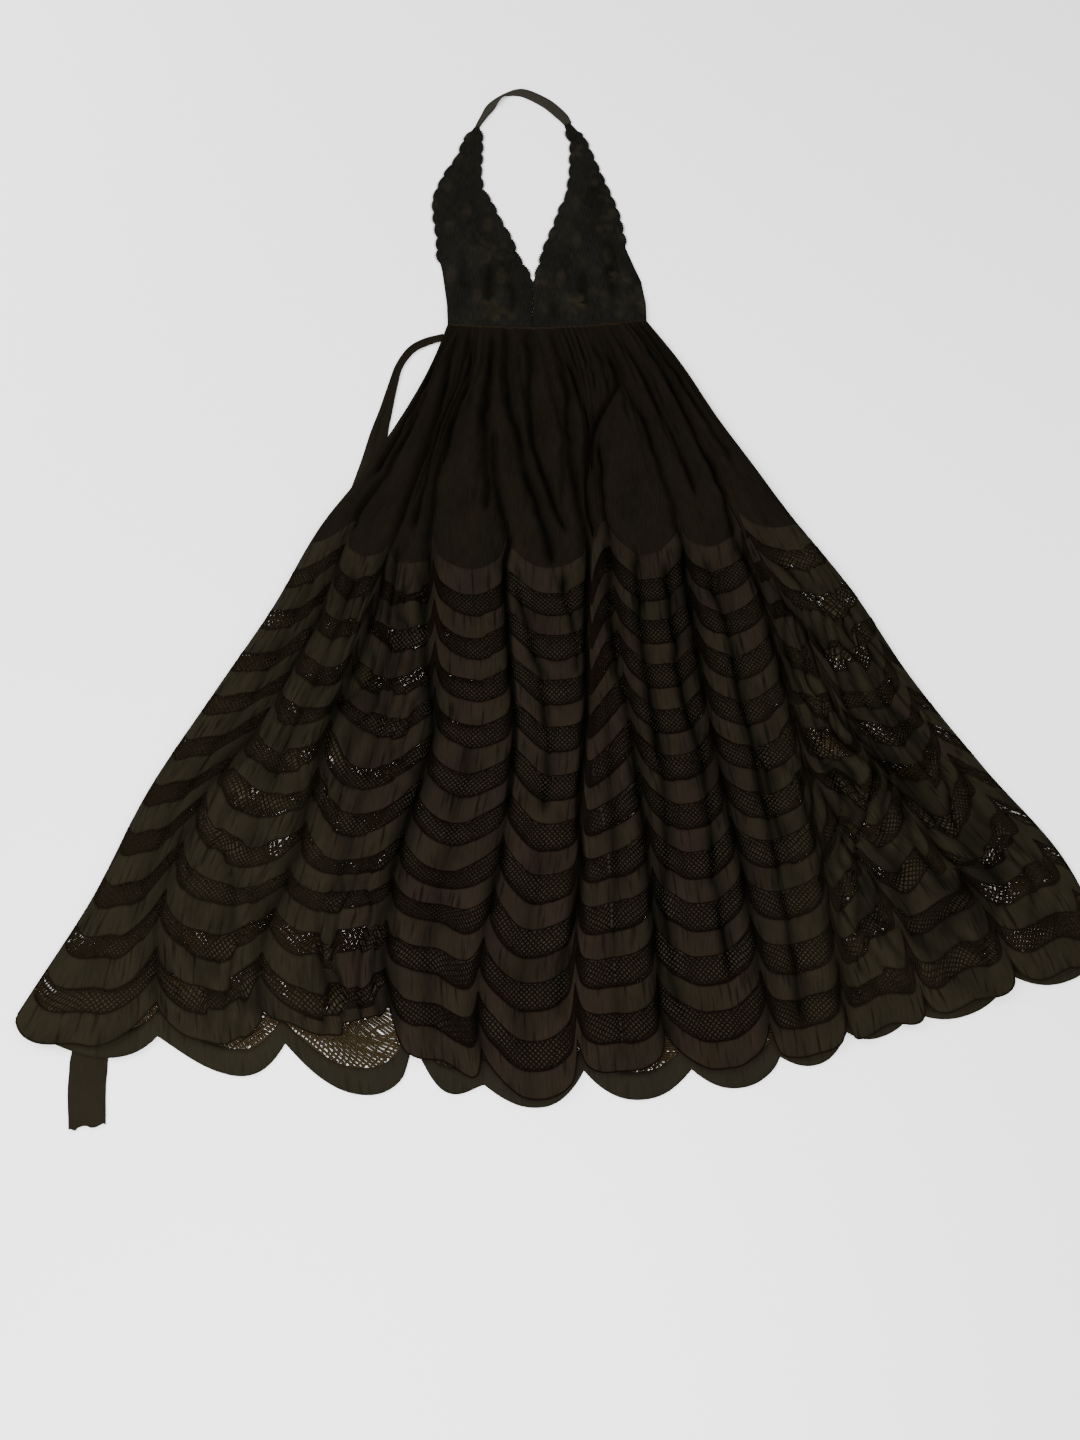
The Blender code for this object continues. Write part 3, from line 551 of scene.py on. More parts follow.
def front_painted_shade(line, cloth):
    """Painted shade of a point of the front panel from 0 to 1, in creases, pleats and gathers."""
    x, _ = on_cloth(line, cloth)
    cloth = np.broadcast_to(np.asarray(cloth, float), x.shape)
    gather = gather_depth(line, cloth) / DEEP_GATHER * ((1 - np.cos(gathers(line))) / 2) ** 3
    p = pleats(line, cloth)
    # Painted shade: darker in creases, at pleat edges, in shaded pleats and in the gathers
    clear = (1 - fold_depth(cloth, x, crease_painted_shade)) * (1 - PLEAT_EDGE_PAINTED_SHADE * p.much * p.edge)
    clear = clear * (1 - PLEAT_PAINTED_SHADE * p.much * p.shade)
    return np.maximum(1 - clear, GATHER_PAINTED_SHADE * gather)


def toward_side(x):
    """How far a place is toward the sides of the skirt, where the lace is painted paler as painted light."""
    return eased((np.abs(x - MIDDLE_X) - SIDE_FROM) / (SIDE_TO - SIDE_FROM))


def front_rise(line, cloth):
    """Height of the middle of the front panel's cloth above the ground."""
    x, y = on_cloth(line, cloth)
    cloth = np.broadcast_to(np.asarray(cloth, float), x.shape)
    inside = np.minimum(x - on_cloth(0, cloth)[0], on_cloth(LAST_LINE, cloth)[0] - x)
    rounding = rolled(inside / EDGE_ROUND)
    p = pleats(line, cloth)
    puff = along(CROWN_AT, cloth) * rounding * (1 - fold_depth(cloth, x))
    puff = puff * (1 - PLEAT_PRESS * p.much * p.edge)
    gather = gather_depth(line, cloth) * rounding * (1 + np.cos(gathers(line))) / 2
    waves = 0.5 * ripple(x / 26, y / 90, seed=3) + 0.22 * ripple(x / 9, y / 34, seed=4)
    waves = waves + PLEAT_TILT * p.much * p.tilt
    rest = WALL + LAY_GAP + lift_over_tie(x, y, TIE_FRONT_FLAT, TIE_FRONT_RAMP)
    return rest + puff + gather + FRONT_REST + waves * (EDGE_WAVES + (1 - EDGE_WAVES) * rounding)


def back_rise(line, cloth):
    """Height of the middle of the back panel's cloth above the ground."""
    x, y = on_cloth(line, cloth)
    waves = 0.25 + 0.25 * ripple(x / 30, y / 80, seed=5)
    return BACK_REST + waves + lift_over_tie(x, y, TIE_BACK_FLAT, TIE_BACK_RAMP)


# The lace pattern


def scallop(share):
    """A scallop's curve: 0 at its two points, 1 at its bottom."""
    return 1 - np.abs(2 * (share % 1.0) - 1) ** SCALLOP_POWER


def column_edges(height):
    """The fold lines on which the pattern's column edges lie at a pattern height."""
    left = 1 - 1 / along(LEFT_SHARE_AT, height)
    right = [float(along(table, height)) for table in (EDGE_9_AT, EDGE_10_AT, EDGE_11_AT)]
    return [left] + list(range(1, LAST_LINE)) + right + [right[-1] + LAST_COLUMN_LINES]


def cloth_density(k, start, stop, height, t):
    """How much of column k's cloth lies at each place t across it, with more of it in its folds."""
    inside = np.clip(start + (stop - start) * t, 0, LAST_LINE)
    width = max(float(np.ptp(on_cloth(inside[[0, -1]], height - LOOK_ABOVE)[0])), 1)
    seen = max(inside[-1] - inside[0], 1e-3) / (stop - start)
    hidden = max(COLUMN * seen / width - 1, 0) if k > 0 else 0
    reach = min(HIDDEN_REACH / width, WIDEST_HIDDEN)
    down = clipped((height - HIDDEN_FROM) / (HIDDEN_TO - HIDDEN_FROM))
    density = np.ones(len(t))
    for place, at_top, at_hem in HIDDEN_AT[min(k, len(HIDDEN_AT) - 1)]:
        hump = np.exp(-(((t - place) / reach) ** 2))
        density += hidden * (at_top * (1 - down) + at_hem * down) * hump / hump.mean()
    return density


def lay_columns():
    """For each pattern height, the fold lines of evenly spaced samples of every column."""
    rows = []
    t = np.linspace(0, 1, DENSITY_SAMPLES)
    for height in TABLE_START + TABLE_STEP * np.arange(TABLE_ROWS):
        edges = column_edges(height)
        row = []
        for k, (start, stop) in enumerate(zip(edges, edges[1:])):
            density = cloth_density(k, start, stop, height, t)
            total = np.concatenate([[0], np.cumsum((density[1:] + density[:-1]) / 2)])
            share = np.interp(np.arange(SAMPLES) / SAMPLES, total / total[-1], t)
            row.append(start + (stop - start) * share)
        rows.append(np.concatenate(row + [[edges[-1]]]))
    return np.array(rows)


COLUMN_LINES = lay_columns()
LAST_COLUMN = (COLUMN_LINES.shape[1] - 1) / SAMPLES


def line_of(column, height):
    """The fold line on which a point of the pattern lies."""
    column, height = np.broadcast_arrays(np.asarray(column, float), np.asarray(height, float))
    r = np.clip((height - TABLE_START) / TABLE_STEP, 0, TABLE_ROWS - PAST_END)
    c = np.clip(column * SAMPLES, 0, COLUMN_LINES.shape[1] - PAST_END)
    i, j = r.astype(int), c.astype(int)
    return blend(COLUMN_LINES, i, j, r - i, c - j)


def column_of(line, height):
    """The pattern column of a point on a fold line, at one pattern height."""
    r = int(np.clip(round((height - TABLE_START) / TABLE_STEP), 0, TABLE_ROWS - 1))
    return np.interp(line, COLUMN_LINES[r], np.arange(COLUMN_LINES.shape[1]) / SAMPLES)


def taken_up(line, height):
    """How far below the pattern height a point really hangs, as cloth is taken up in folds."""
    tuck = along(TUCK_SHARE_AT, line)
    even = clipped((height - TAKEN_FROM) / (TAKEN_TO - TAKEN_FROM))
    share = tuck * eased((height - TUCK_FROM) / (TUCK_TO - TUCK_FROM)) + (1 - tuck) * even
    lower = along(LOWER_RIGHT_AT, line) * along(LOWER_BY_HEIGHT, height)
    return eased_along(TAKEN_TOP, line) * (1 - share) + eased_along(TAKEN_HEM, line) * share - lower


def satin_height(column):
    """How tall the satin bands are along the pattern."""
    return along(SATIN_AT, column)


def band_bottom(band, column):
    """Pattern height of a satin band's lower edge."""
    return FIRST_BOTTOM + PITCH * band - SCALLOP_DEPTH * (1 - scallop(column))


def hem_length(hem, line):
    """Cloth length of a scalloped hem at fold lines."""
    starts, cusp, bottom = (entries(hem, place) for place in range(3))
    row = row_before(starts, line)
    share = (line - starts[row]) / (starts[row + 1] - starts[row])
    chord = cusp[row] + (cusp[row + 1] - cusp[row]) * share
    return chord + (bottom[row] - chord) * (1 - np.abs(2 * share - 1) ** SCALLOP_POWER)


def lace_start(line):
    """Cloth length of the scalloped seam at the top of the back panel's lace."""
    return along(LACE_TOP_AT, line) - LACE_TOP_RISE * (1 - scallop(line))


def front_point(column, height, lift=0.0):
    """A point of the front lace from its pattern column and height, and whether it is on the cloth.

    The point has its place, how dark its painted shade is, and how pale it is painted: paler
    toward the sides as painted light, and by each pleat's own random tone.
    """
    line = line_of(column, height)
    on = (line >= 0) & (line <= LAST_LINE)
    line = np.clip(line, 0, LAST_LINE)
    cloth = height - taken_up(line, height)
    p = pleats(line, cloth)
    cloth = cloth + PLEAT_SHIFT * p.much * p.shift
    x, y = on_cloth(line, cloth)
    # Painted light: paler toward the sides, plus each pleat's own random tone
    pale = clipped(toward_side(x) + PLEAT_TONE * p.much * p.tone)
    return np.stack([x, y, front_rise(line, cloth) + lift, front_painted_shade(line, cloth), pale], -1), on


def back_point(column, height):
    """A point of the back lace, as front_point gives it.

    In place of painted shade it has how bare it lies past the front's hem, which darkens its painted
    paleness.
    """
    line = line_of(column, height)
    on = (line >= 0) & (line <= LAST_LINE)
    past_net = height - band_bottom(BANDS - 2, column)
    at_hem = eased(past_net / (PITCH - satin_height(column)))
    line = np.clip(line + along(BACK_ASIDE_AT, line) * at_hem, 0, LAST_LINE)
    glints = along(GLINTS_AT, line) * np.tanh(SHARP * ripple(line * 5.6, height / 31, seed=12))
    glints = glints * (1 - eased(past_net / GLINT_FADE + 1))
    at_side = eased((BARE_SIDE_REACH - line) / BARE_SIDE_REACH * 2)
    free = height + (along(BACK_LOWER_AT, height) + glints
                     + BARE_SIDE_SHIFT * along(BARE_SIDE_AT, height) * at_side)
    free = free - taken_up(line, free)
    hung = hem_length(BACK_HEM, line) - (band_bottom(BANDS - 1, column) - height)
    cloth = np.maximum(free * (1 - at_hem) + hung * at_hem, lace_start(line))
    x, y = on_cloth(line, cloth)
    front_column = column_of(line, HEM_HEIGHT)
    front_hem = band_bottom(BANDS - 1, front_column) - along(TURNED_UNDER_AT, front_column)
    front_hem = front_hem - taken_up(line, front_hem)
    # How bare it lies: this darkens the back's painted paleness toward its own colour
    bare = eased((cloth - front_hem + BARE_FROM) / BARE_FADE)
    return np.stack([x, y, back_rise(line, cloth), bare, toward_side(x)], -1), on


def between_satin(column, height, satin, hem_satin):
    """Whether a point of the pattern is on a net band, from the satin bands' heights."""
    first, last = band_bottom(0, column), band_bottom(BANDS - 1, column)
    phase = (height - first) % PITCH
    at_hem = height > last - PITCH - NET_UNDER
    above = np.where(at_hem, height < last - hem_satin + NET_UNDER, phase < PITCH - satin + NET_UNDER)
    return (height > first - NET_UNDER) & above


def in_front_net(column, height):
    """Whether a point of the front's pattern is on a net band."""
    satin = satin_height(column)
    return between_satin(column, height, satin, satin)


def in_back_net(column, height):
    """Whether a point of the back's pattern is on a net band."""
    return between_satin(column, height, along(BACK_SATIN_AT, column), BACK_HEM_SATIN)


# Making meshes


def listed(*grids):
    """Puts grids of values side by side, with one row for each point."""
    return np.stack(np.broadcast_arrays(*grids), -1).reshape(-1, len(grids))


def added(name, data):
    """Adds an object to the scene."""
    obj = bpy.data.objects.new(name, data)
    bpy.context.scene.collection.objects.link(obj)
    return obj


def mesh_of(name, points, faces, uv=None, lie=None):
    """A mesh from points in the tables' millimetres and quads, with its flat cloth place as UV.

    lie gives each point's painted darkening (shade of creases on the front, bareness on the back)
    and how far toward the sides it lies, where it is painted paler as painted light.
    """
    mesh = bpy.data.meshes.new(name)
    faces = np.asarray(faces, np.int32)
    in_metres = (np.asarray(points, float) - (MIDDLE_X, MIDDLE_Y, 0)) * MM
    mesh.vertices.add(len(points))
    mesh.vertices.foreach_set("co", in_metres.astype(np.float32).ravel())
    mesh.loops.add(faces.size)
    mesh.loops.foreach_set("vertex_index", faces.ravel())
    mesh.polygons.add(len(faces))
    mesh.polygons.foreach_set("loop_start", np.arange(len(faces), dtype=np.int32) * faces.shape[1])
    mesh.update(calc_edges=True)
    mesh.validate()
    if uv is not None:
        layer = mesh.uv_layers.new(name="cloth")
        layer.data.foreach_set("uv", (np.asarray(uv)[faces.ravel()] * MM).astype(np.float32).ravel())
    if lie is not None:
        for column, label in enumerate(("hollow", "side")):
            values = mesh.attributes.new(label, "FLOAT", "POINT")
            values.data.foreach_set("value", np.ascontiguousarray(lie[:, column], np.float32))
    mesh.shade_smooth()
    return added(name, mesh)


def grid_faces(rows, columns, keep=None):
    """Quads of a grid of points, seen counter-clockwise from above when rows run down the dress."""
    first = np.arange(rows * columns).reshape(rows, columns)
    quads = np.stack([first[:-1, :-1], first[1:, :-1], first[1:, 1:], first[:-1, 1:]], -1).reshape(-1, 4)
    return quads if keep is None else quads[keep.ravel()[quads].any(1)]


def thicken(obj, thickness):
    """Gives a sheet of cloth its thickness, half to each side."""
    solid = obj.modifiers.new("thickness", "SOLIDIFY")
    solid.thickness = thickness * MM
    solid.offset = 0.0
    return obj


def unit(ways):
    """Directions of length one."""
    return ways / np.maximum(np.linalg.norm(ways, axis=1), 1e-9)[:, None]


def stretches(marks):
    """Start and end of each unbroken stretch of set marks."""
    edge = np.flatnonzero(np.diff(np.concatenate([[0], marks.astype(np.int8), [0]])))
    return list(zip(edge[::2], edge[1::2]))


def threads(name, runs, radius, sides=3, flat=1.0):
    """Threads along runs of points; flat says how high a thread is for its width."""
    points = np.concatenate(runs)
    run = np.repeat(np.arange(len(runs)), [len(r) for r in runs])
    line, lie = points[:, :3], points[:, 3:5]
    here = np.arange(len(run))
    ahead, behind = np.minimum(here + 1, len(run) - 1), np.maximum(here - 1, 0)
    ahead, behind = (np.where(run[there] == run, there, here) for there in (ahead, behind))
    way = unit(line[ahead] - line[behind])
    side = unit(np.cross(way, (0, 0, 1.0)))
    up = np.cross(side, way)
    turn = 2 * np.pi * (np.arange(sides) + 0.25) / sides
    ring = line[:, None, :] + radius * (np.cos(turn)[None, :, None] * side[:, None, :]
                                        + flat * np.sin(turn)[None, :, None] * up[:, None, :])
    inner = here[:-1][run[:-1] == run[1:]] * sides
    quads = []
    for k in range(sides):
        n = (k + 1) % sides
        quads.append(np.stack([inner + k, inner + n, inner + sides + n, inner + sides + k], -1))
    lie = np.repeat(lie, sides, axis=0) if lie.shape[1] else None
    return mesh_of(name, ring.reshape(-1, 3), np.concatenate(quads), lie=lie)


def net(name, columns, point, in_net, radius):
    """Diagonal threads of open net over the bands where in_net holds."""
    low, high = NET_HEIGHTS
    rise = np.arange(low, high, NET_STEP)
    across = (columns[1] - columns[0]) * COLUMN
    picked = []
    for lean in (1, -1):
        starts = np.arange(-(high - low) - NET_PITCH, across + (high - low), NET_PITCH)
        column = columns[0] + (starts[:, None] + lean * (rise[None, :] - low)) / COLUMN
        inside = (column >= columns[0]) & (column <= columns[1])
        inside &= in_net(column, np.broadcast_to(rise, column.shape))
        for across_row, marks in zip(column, inside):
            for a, b in stretches(marks):
                if b - a >= SHORTEST_RUN:
                    picks = np.unique(np.append(np.arange(a, b - 1, THREAD_STRIDE), b - 1))
                    picked.append(np.stack([across_row[picks], rise[picks]], -1))
    places = np.concatenate(picked)
    points, on = point(places[:, 0], places[:, 1])
    ends = np.cumsum([len(p) for p in picked])
    runs = []
    for a, b in zip(ends - [len(p) for p in picked], ends):
        runs += [points[max(a + s - 1, a):min(a + e + 1, b)] for s, e in stretches(on[a:b])]
    return threads(name, runs, radius, flat=THREAD_FLAT)


# Shader effects


def put(tree, socket, value):
    """Joins an output to a socket, or sets the socket to a fixed value."""
    if isinstance(value, bpy.types.NodeSocket):
        tree.links.new(value, socket)
    else:
        socket.default_value = value


def node(tree, kind, **values):
    """Adds a node with its settings; a name of the form in_Name gives an input."""
    made = tree.nodes.new(kind)
    made.location = (NODE_SPACE * len(tree.nodes), 0)
    for key, value in values.items():
        if key.startswith("in_"):
            put(tree, made.inputs[key[3:].replace("_", " ")], value)
        else:
            setattr(made, key, value)
    return made


def effect(name, inputs, outputs):
    """An empty node group with named inputs (name, kind, value) and outputs (name, kind)."""
    group = bpy.data.node_groups.new(name, "ShaderNodeTree")
    for label, kind, value in inputs:
        socket = group.interface.new_socket(label, in_out="INPUT", socket_type=kind)
        if value is not None:
            socket.default_value = value
    for label, kind in outputs:
        group.interface.new_socket(label, in_out="OUTPUT", socket_type=kind)
    return group, group.nodes.new("NodeGroupInput").outputs, group.nodes.new("NodeGroupOutput").inputs


def calc(tree, a, b=None, clamp=False, operation="ADD"):
    """A maths node on outputs or numbers; gives its output."""
    made = node(tree, "ShaderNodeMath", operation=operation, use_clamp=clamp)
    put(tree, made.inputs[0], a)
    if b is not None:
        put(tree, made.inputs[1], b)
    return made.outputs[0]


plus, minus = partial(calc, operation="ADD"), partial(calc, operation="SUBTRACT")
times, over = partial(calc, operation="MULTIPLY"), partial(calc, operation="DIVIDE")


def mixed(tree, share, first, second):
    """A colour between two others."""
    made = node(tree, "ShaderNodeMix", data_type="RGBA")
    # Inputs 6 and 7 and output 2 are the node's colour sockets
    for number, value in ((0, share), (6, first), (7, second)):
        put(tree, made.inputs[number], value)
    return made.outputs[2]


def noise(tree, place, scale, detail=2.0, roughness=0.5):
    """A noise value over the cloth; scale is how many waves a metre holds across and down."""
    if scale:
        place = node(tree, "ShaderNodeMapping", in_Scale=(*scale, 1), in_Vector=place).outputs[0]
    return node(tree, "ShaderNodeTexNoise", in_Scale=1.0, in_Detail=detail, in_Roughness=roughness,
                in_Vector=place).outputs[0]


def across_and_down(tree, place):
    """A place's two parts."""
    return node(tree, "ShaderNodeSeparateXYZ", in_Vector=place).outputs[:2]


def scaled(tree, vector, scale):
    """A vector or colour made larger or smaller."""
    return node(tree, "ShaderNodeVectorMath", operation="SCALE", in_Vector=vector, in_Scale=scale).outputs[0]


def make_cloth_effect():
    """Threads, slubs, uneven tint and brightness of a cloth; painted shade in its creases and wrinkles."""
    t, given, made = effect(
        "cloth_finish",
        [("Place", VECTOR, None), ("Colour", COLOUR, GREY), ("Tint", COLOUR, GREY), ("Uneven", VALUE, 0.3),
         ("Thread count", VALUE, 900.0), ("Thread length", VALUE, 8.0), ("Crinkle", VALUE, 0.5),
         ("Crease dark", VALUE, 0.8), ("Streaks", VALUE, 0.0), ("Side colour", COLOUR, GREY),
         ("Side", VALUE, 0.0), ("Side light", VALUE, 0.3), ("Hollow", VALUE, 0.0)],
        [("Colour", COLOUR), ("Height", VALUE), ("Roughness", VALUE)])
    place, count = given["Place"], given["Thread count"]
    across, down = across_and_down(t, place)
    threaded = node(t, "ShaderNodeCombineXYZ", in_X=times(t, across, count),
                    in_Y=times(t, down, over(t, count, given["Thread length"])))
    thread = noise(t, threaded.outputs[0], None, 1.0)
    crinkle = noise(t, place, (160, 38))
    blotch = noise(t, place, (26, 14), 3.0, 0.6)
    # Painted shade of fine wrinkles: long narrow dark streaks
    wrinkle_shade_mask = times(t, minus(t, noise(t, place, (210, 21), 1.5), 0.55, True), 6.0, True)
    tint = minus(t, times(t, noise(t, place, (24, 8), 1.0), 3.0), 1.0, True)
    # Painted light: toward the sides the colour turns to the paler side colour
    colour = mixed(t, given["Side"], mixed(t, tint, given["Colour"], given["Tint"]), given["Side colour"])
    swing = plus(t, minus(t, blotch, 0.5), minus(t, thread, 0.5))
    level = plus(t, 1.0, times(t, swing, given["Uneven"]))
    level = times(t, level, minus(t, 1.0, times(t, wrinkle_shade_mask, given["Streaks"])))
    # Painted shade darkens creases toward near black, and the bare back; less toward the sides, as painted
    # light
    deep = times(t, times(t, given["Hollow"], 1.15, True), given["Crease dark"])
    side_painted_light = minus(t, 1.0, times(t, given["Side"], given["Side light"]))
    put(t, made["Colour"], mixed(t, times(t, deep, side_painted_light), scaled(t, colour, level), PAINTED_DARK_COLOUR))
    put(t, made["Height"], plus(t, times(t, thread, 0.35), times(t, crinkle, given["Crinkle"])))
    put(t, made["Roughness"], plus(t, 0.72, times(t, blotch, 0.25)))
    return t


def make_flower_effect():
    """Raised petals and leaves and a fine ribbed ground, for lace: masks of the petals and the ribs."""
    t, given, made = effect(
        "lace_flowers",
        [("Place", VECTOR, None), ("Flower size", VALUE, 0.082), ("Rib pitch", VALUE, 0.0026)],
        [("Petals", VALUE), ("Ribs", VALUE)])
    place = given["Place"]
    spot = scaled(t, place, over(t, 1.0, given["Flower size"]))
    cells = node(t, "ShaderNodeTexVoronoi", voronoi_dimensions="2D", in_Scale=1.0, in_Randomness=0.8,
                 in_Vector=spot).outputs
    away = node(t, "ShaderNodeVectorMath", operation="SUBTRACT")
    put(t, away.inputs[0], spot)
    put(t, away.inputs[1], cells["Position"])
    aside, up = across_and_down(t, away.outputs[0])
    own = node(t, "ShaderNodeSeparateColor", in_Color=cells["Color"]).outputs
    angle = plus(t, calc(t, up, aside, operation="ARCTAN2"), times(t, own[0], 6.28))
    lobes = calc(t, calc(t, times(t, angle, 2.5), operation="COSINE"), operation="ABSOLUTE")
    lobes = calc(t, lobes, 0.6, operation="POWER")
    reach = plus(t, 0.12, times(t, lobes, plus(t, 0.12, times(t, own[1], 0.16))))
    flower = times(t, minus(t, reach, cells["Distance"]), 9.0, True)
    middle = times(t, minus(t, 0.07, cells["Distance"]), 30.0, True)
    flower = minus(t, flower, times(t, middle, 0.6), True)
    turned = node(t, "ShaderNodeMapping", in_Rotation=(0, 0, 1.1), in_Scale=(2.4, 1.1, 1),
                  in_Location=(3.3, 1.7, 0), in_Vector=spot)
    leaves = node(t, "ShaderNodeTexVoronoi", voronoi_dimensions="2D", in_Scale=1.0, in_Randomness=1.0,
                  in_Vector=turned.outputs[0])
    leaf = times(t, minus(t, 0.27, leaves.outputs["Distance"]), 8.0, True)
    uneven = minus(t, times(t, noise(t, place, (34, 34)), 3.2), 1.2, True)
    petals = times(t, calc(t, flower, times(t, leaf, 0.65), operation="MAXIMUM"), uneven)
    turn = over(t, times(t, across_and_down(t, place)[1], 6.283), given["Rib pitch"])
    put(t, made["Petals"], petals)
    put(t, made["Ribs"], plus(t, 0.5, times(t, calc(t, turn, operation="SINE"), 0.5)))
    return t


CLOTH_FINISH_AND_PAINTED_SHADE = make_cloth_effect()
LACE_FLOWERS = make_flower_effect()


# Materials


def cloth_material(name, colour, tint, depth, shine, place="UV", side=None, trim=None, **finish):
    """A cloth with its own values of the cloth effect and painted shade, such as uneven=0.3 or
    thread_count=900.

    depth is that of its relief, in metres; side is its colour at the skirt's sides, painted paler
    there as painted light; trim lays more over the cloth's own colour and height.
    """
    mat = bpy.data.materials.new(name)
    mat.use_nodes = True
    t = mat.node_tree
    shader = t.nodes["Principled BSDF"]
    where = node(t, "ShaderNodeTexCoord").outputs[place]
    hollow = node(t, "ShaderNodeAttribute", attribute_name="hollow").outputs["Fac"]
    beside = node(t, "ShaderNodeAttribute", attribute_name="side").outputs["Fac"]
    cloth = node(t, "ShaderNodeGroup", node_tree=CLOTH_FINISH_AND_PAINTED_SHADE, in_Place=where, in_Hollow=hollow,
                 in_Side=beside, in_Colour=(*colour, 1), in_Tint=(*tint, 1),
                 in_Side_colour=(*(side or colour), 1),
                 **{"in_" + label.capitalize(): value for label, value in finish.items()}).outputs
    shown, height = cloth["Colour"], cloth["Height"]
    if trim:
        shown, height = trim(t, where, shown, height)
    bump = node(t, "ShaderNodeBump", in_Strength=1.0, in_Distance=depth, in_Height=height)
    for label, value in (("Base Color", shown), ("Roughness", cloth["Roughness"]),
                         ("Normal", bump.outputs["Normal"]), ("Specular IOR Level", shine)):
        put(t, shader.inputs[label], value)
    return mat


def gauze_cloth():
    """Crinkled matt gauze, with painted shade in its creases."""
    return cloth_material("gauze", (0.0053, 0.0039, 0.0026), (0.0046, 0.0037, 0.0025), depth=0.0010,
                          shine=0.003, uneven=0.8, thread_count=700, thread_length=12, crinkle=0.8,
                          crease_dark=0.43, streaks=0.1)


def seam_gauze():
    """The same gauze, puckered and a little paler on the waist seam."""
    return cloth_material("seam_gauze", (0.0085, 0.0062, 0.0038), (0.0074, 0.0058, 0.0037),
                          depth=0.0010, shine=0.003, uneven=0.9, thread_count=700, thread_length=6,
                          crinkle=0.8, crease_dark=0.0)


def front_satin_cloth():
    """Satin, lightly creased across its bands, with painted shade in creases and painted light at the sides.
    """
    return cloth_material("satin", (0.0088, 0.0059, 0.0044), (0.0088, 0.0069, 0.0041), depth=0.0006,
                          shine=0.012, side=(0.0091, 0.0076, 0.0044), uneven=0.9, thread_count=1300,
                          thread_length=26, crinkle=0.25, crease_dark=0.85, streaks=0.6)


def back_satin_cloth():
    """The back's satin: painted light makes it pale in the front's shade and paler at the sides; darker
    where bare.
    """
    return cloth_material("back_satin_cloth", (0.0425, 0.0345, 0.0238), (0.0413, 0.0345, 0.0219),
                          depth=0.0006, shine=0.01, side=(0.0450, 0.0375, 0.0225), uneven=0.6,
                          thread_count=1300, thread_length=26, crinkle=0.25, crease_dark=0.8, streaks=0.3,
                          side_light=0.0)


def thread(name, colour, tint, **finish):
    """A matt yarn, finished by its place in space, since it has no flat cloth place."""
    return cloth_material(name, colour, tint, depth=0.0002, shine=0.0, place="Object", thread_count=900,
                          crinkle=0.0, **finish)


def net_thread():
    """Dark thread of the front's net, with painted shade in creases and painted light at the sides."""
    return thread("net_thread", (0.0040, 0.0028, 0.0020), (0.0040, 0.0026, 0.0019), uneven=0.3,
                  thread_length=4, crease_dark=0.8, side=(0.0068, 0.0051, 0.0032))


def back_thread():
    """Golden brown back net thread: painted paler under the front as painted light, darker where it lies
    bare.
    """
    return thread("back_thread", (0.0440, 0.0310, 0.0155), (0.0300, 0.0215, 0.0110), uneven=0.5,
                  thread_length=4, crease_dark=0.55, side_light=0.0)


def rim_cord():
    """The dark cord of rims, side seams and loops, with painted shade and painted light on the rims."""
    return thread("rim_cord", (0.0030, 0.0018, 0.0013), (0.0034, 0.0018, 0.0016), uneven=0.3,
                  thread_length=2, crease_dark=0.5, side=(0.0054, 0.0039, 0.0025))


def raised_flowers(t, where, colour, height):
    """Faint flowers and ribs over a cloth's own colour and height, the petals paler partly as painted
    highlight.
    """
    flowers = node(t, "ShaderNodeGroup", node_tree=LACE_FLOWERS, in_Place=where).outputs
    height = plus(t, height, times(t, flowers["Petals"], 0.9))
    return (mixed(t, times(t, flowers["Petals"], 0.85), colour, PETAL_COLOUR_AND_HIGHLIGHT),
            plus(t, height, times(t, flowers["Ribs"], 0.25)))


def cup_lace():
    """Lace over a dark lining, with painted shade in its folds."""
    ground = (0.0052, 0.0050, 0.0039)
    return cloth_material("cup_lace", ground, tuple(0.9 * v for v in ground), depth=0.0010, shine=0.005,
                          trim=raised_flowers, uneven=1.5, thread_count=900, thread_length=12, crinkle=0.4,
                          crease_dark=0.6)


def strap_cloth():
    """The strap's folded ribbon."""
    return cloth_material("strap_cloth", (0.0155, 0.0138, 0.0110), (0.0180, 0.0160, 0.0128),
                          depth=0.0004, shine=0.01, uneven=0.4, thread_count=1200, thread_length=20,
                          crinkle=0.2, crease_dark=0.0)


def tie_cloth():
    """The tie's folded ribbon, with painted shade along its fold and near the skirt."""
    return cloth_material("tie_cloth", (0.0084, 0.0070, 0.0042), (0.0092, 0.0074, 0.0046),
                          depth=0.0004, shine=0.01, uneven=0.5, thread_count=1200, thread_length=20,
                          crinkle=0.2, crease_dark=0.8)


# Pieces of the skirt


def gauze_panel(name, lines, rows, end, rise, tucked=0.0, hollow=None):
    """A plain panel from the waist to the cloth length end, its lower edge tucked under the lace."""
    cloth = end[None, :] * np.linspace(0, 1, rows)[:, None]
    line = np.broadcast_to(lines, cloth.shape)
    x, y = on_cloth(line, cloth)
    z = rise(line, cloth) - tucked * clipped((cloth - end[None, :] + TUCK_REACH) / TUCK_FADE)
    lie = listed(hollow(line, cloth), 0 * line) if hollow else None
    uv = listed(line * LINE_WIDTH, -cloth)
    return thicken(mesh_of(name, listed(x, y, z), grid_faces(*cloth.shape), uv, lie), SKIRT_THICK)


def front_gauze():
    """The plain upper part of the front skirt."""
    count, rows = FRONT_GAUZE_GRID
    lines = np.linspace(0, LAST_LINE, count)
    seam = band_bottom(0, column_of(lines, GAUZE_SEAM_AT)) - FIRST_SATIN + FRONT_SEAM_OVERLAP
    end = seam - taken_up(lines, seam)
    return gauze_panel("front_gauze", lines, rows, end, front_rise, GAUZE_TUCKED, front_painted_shade)


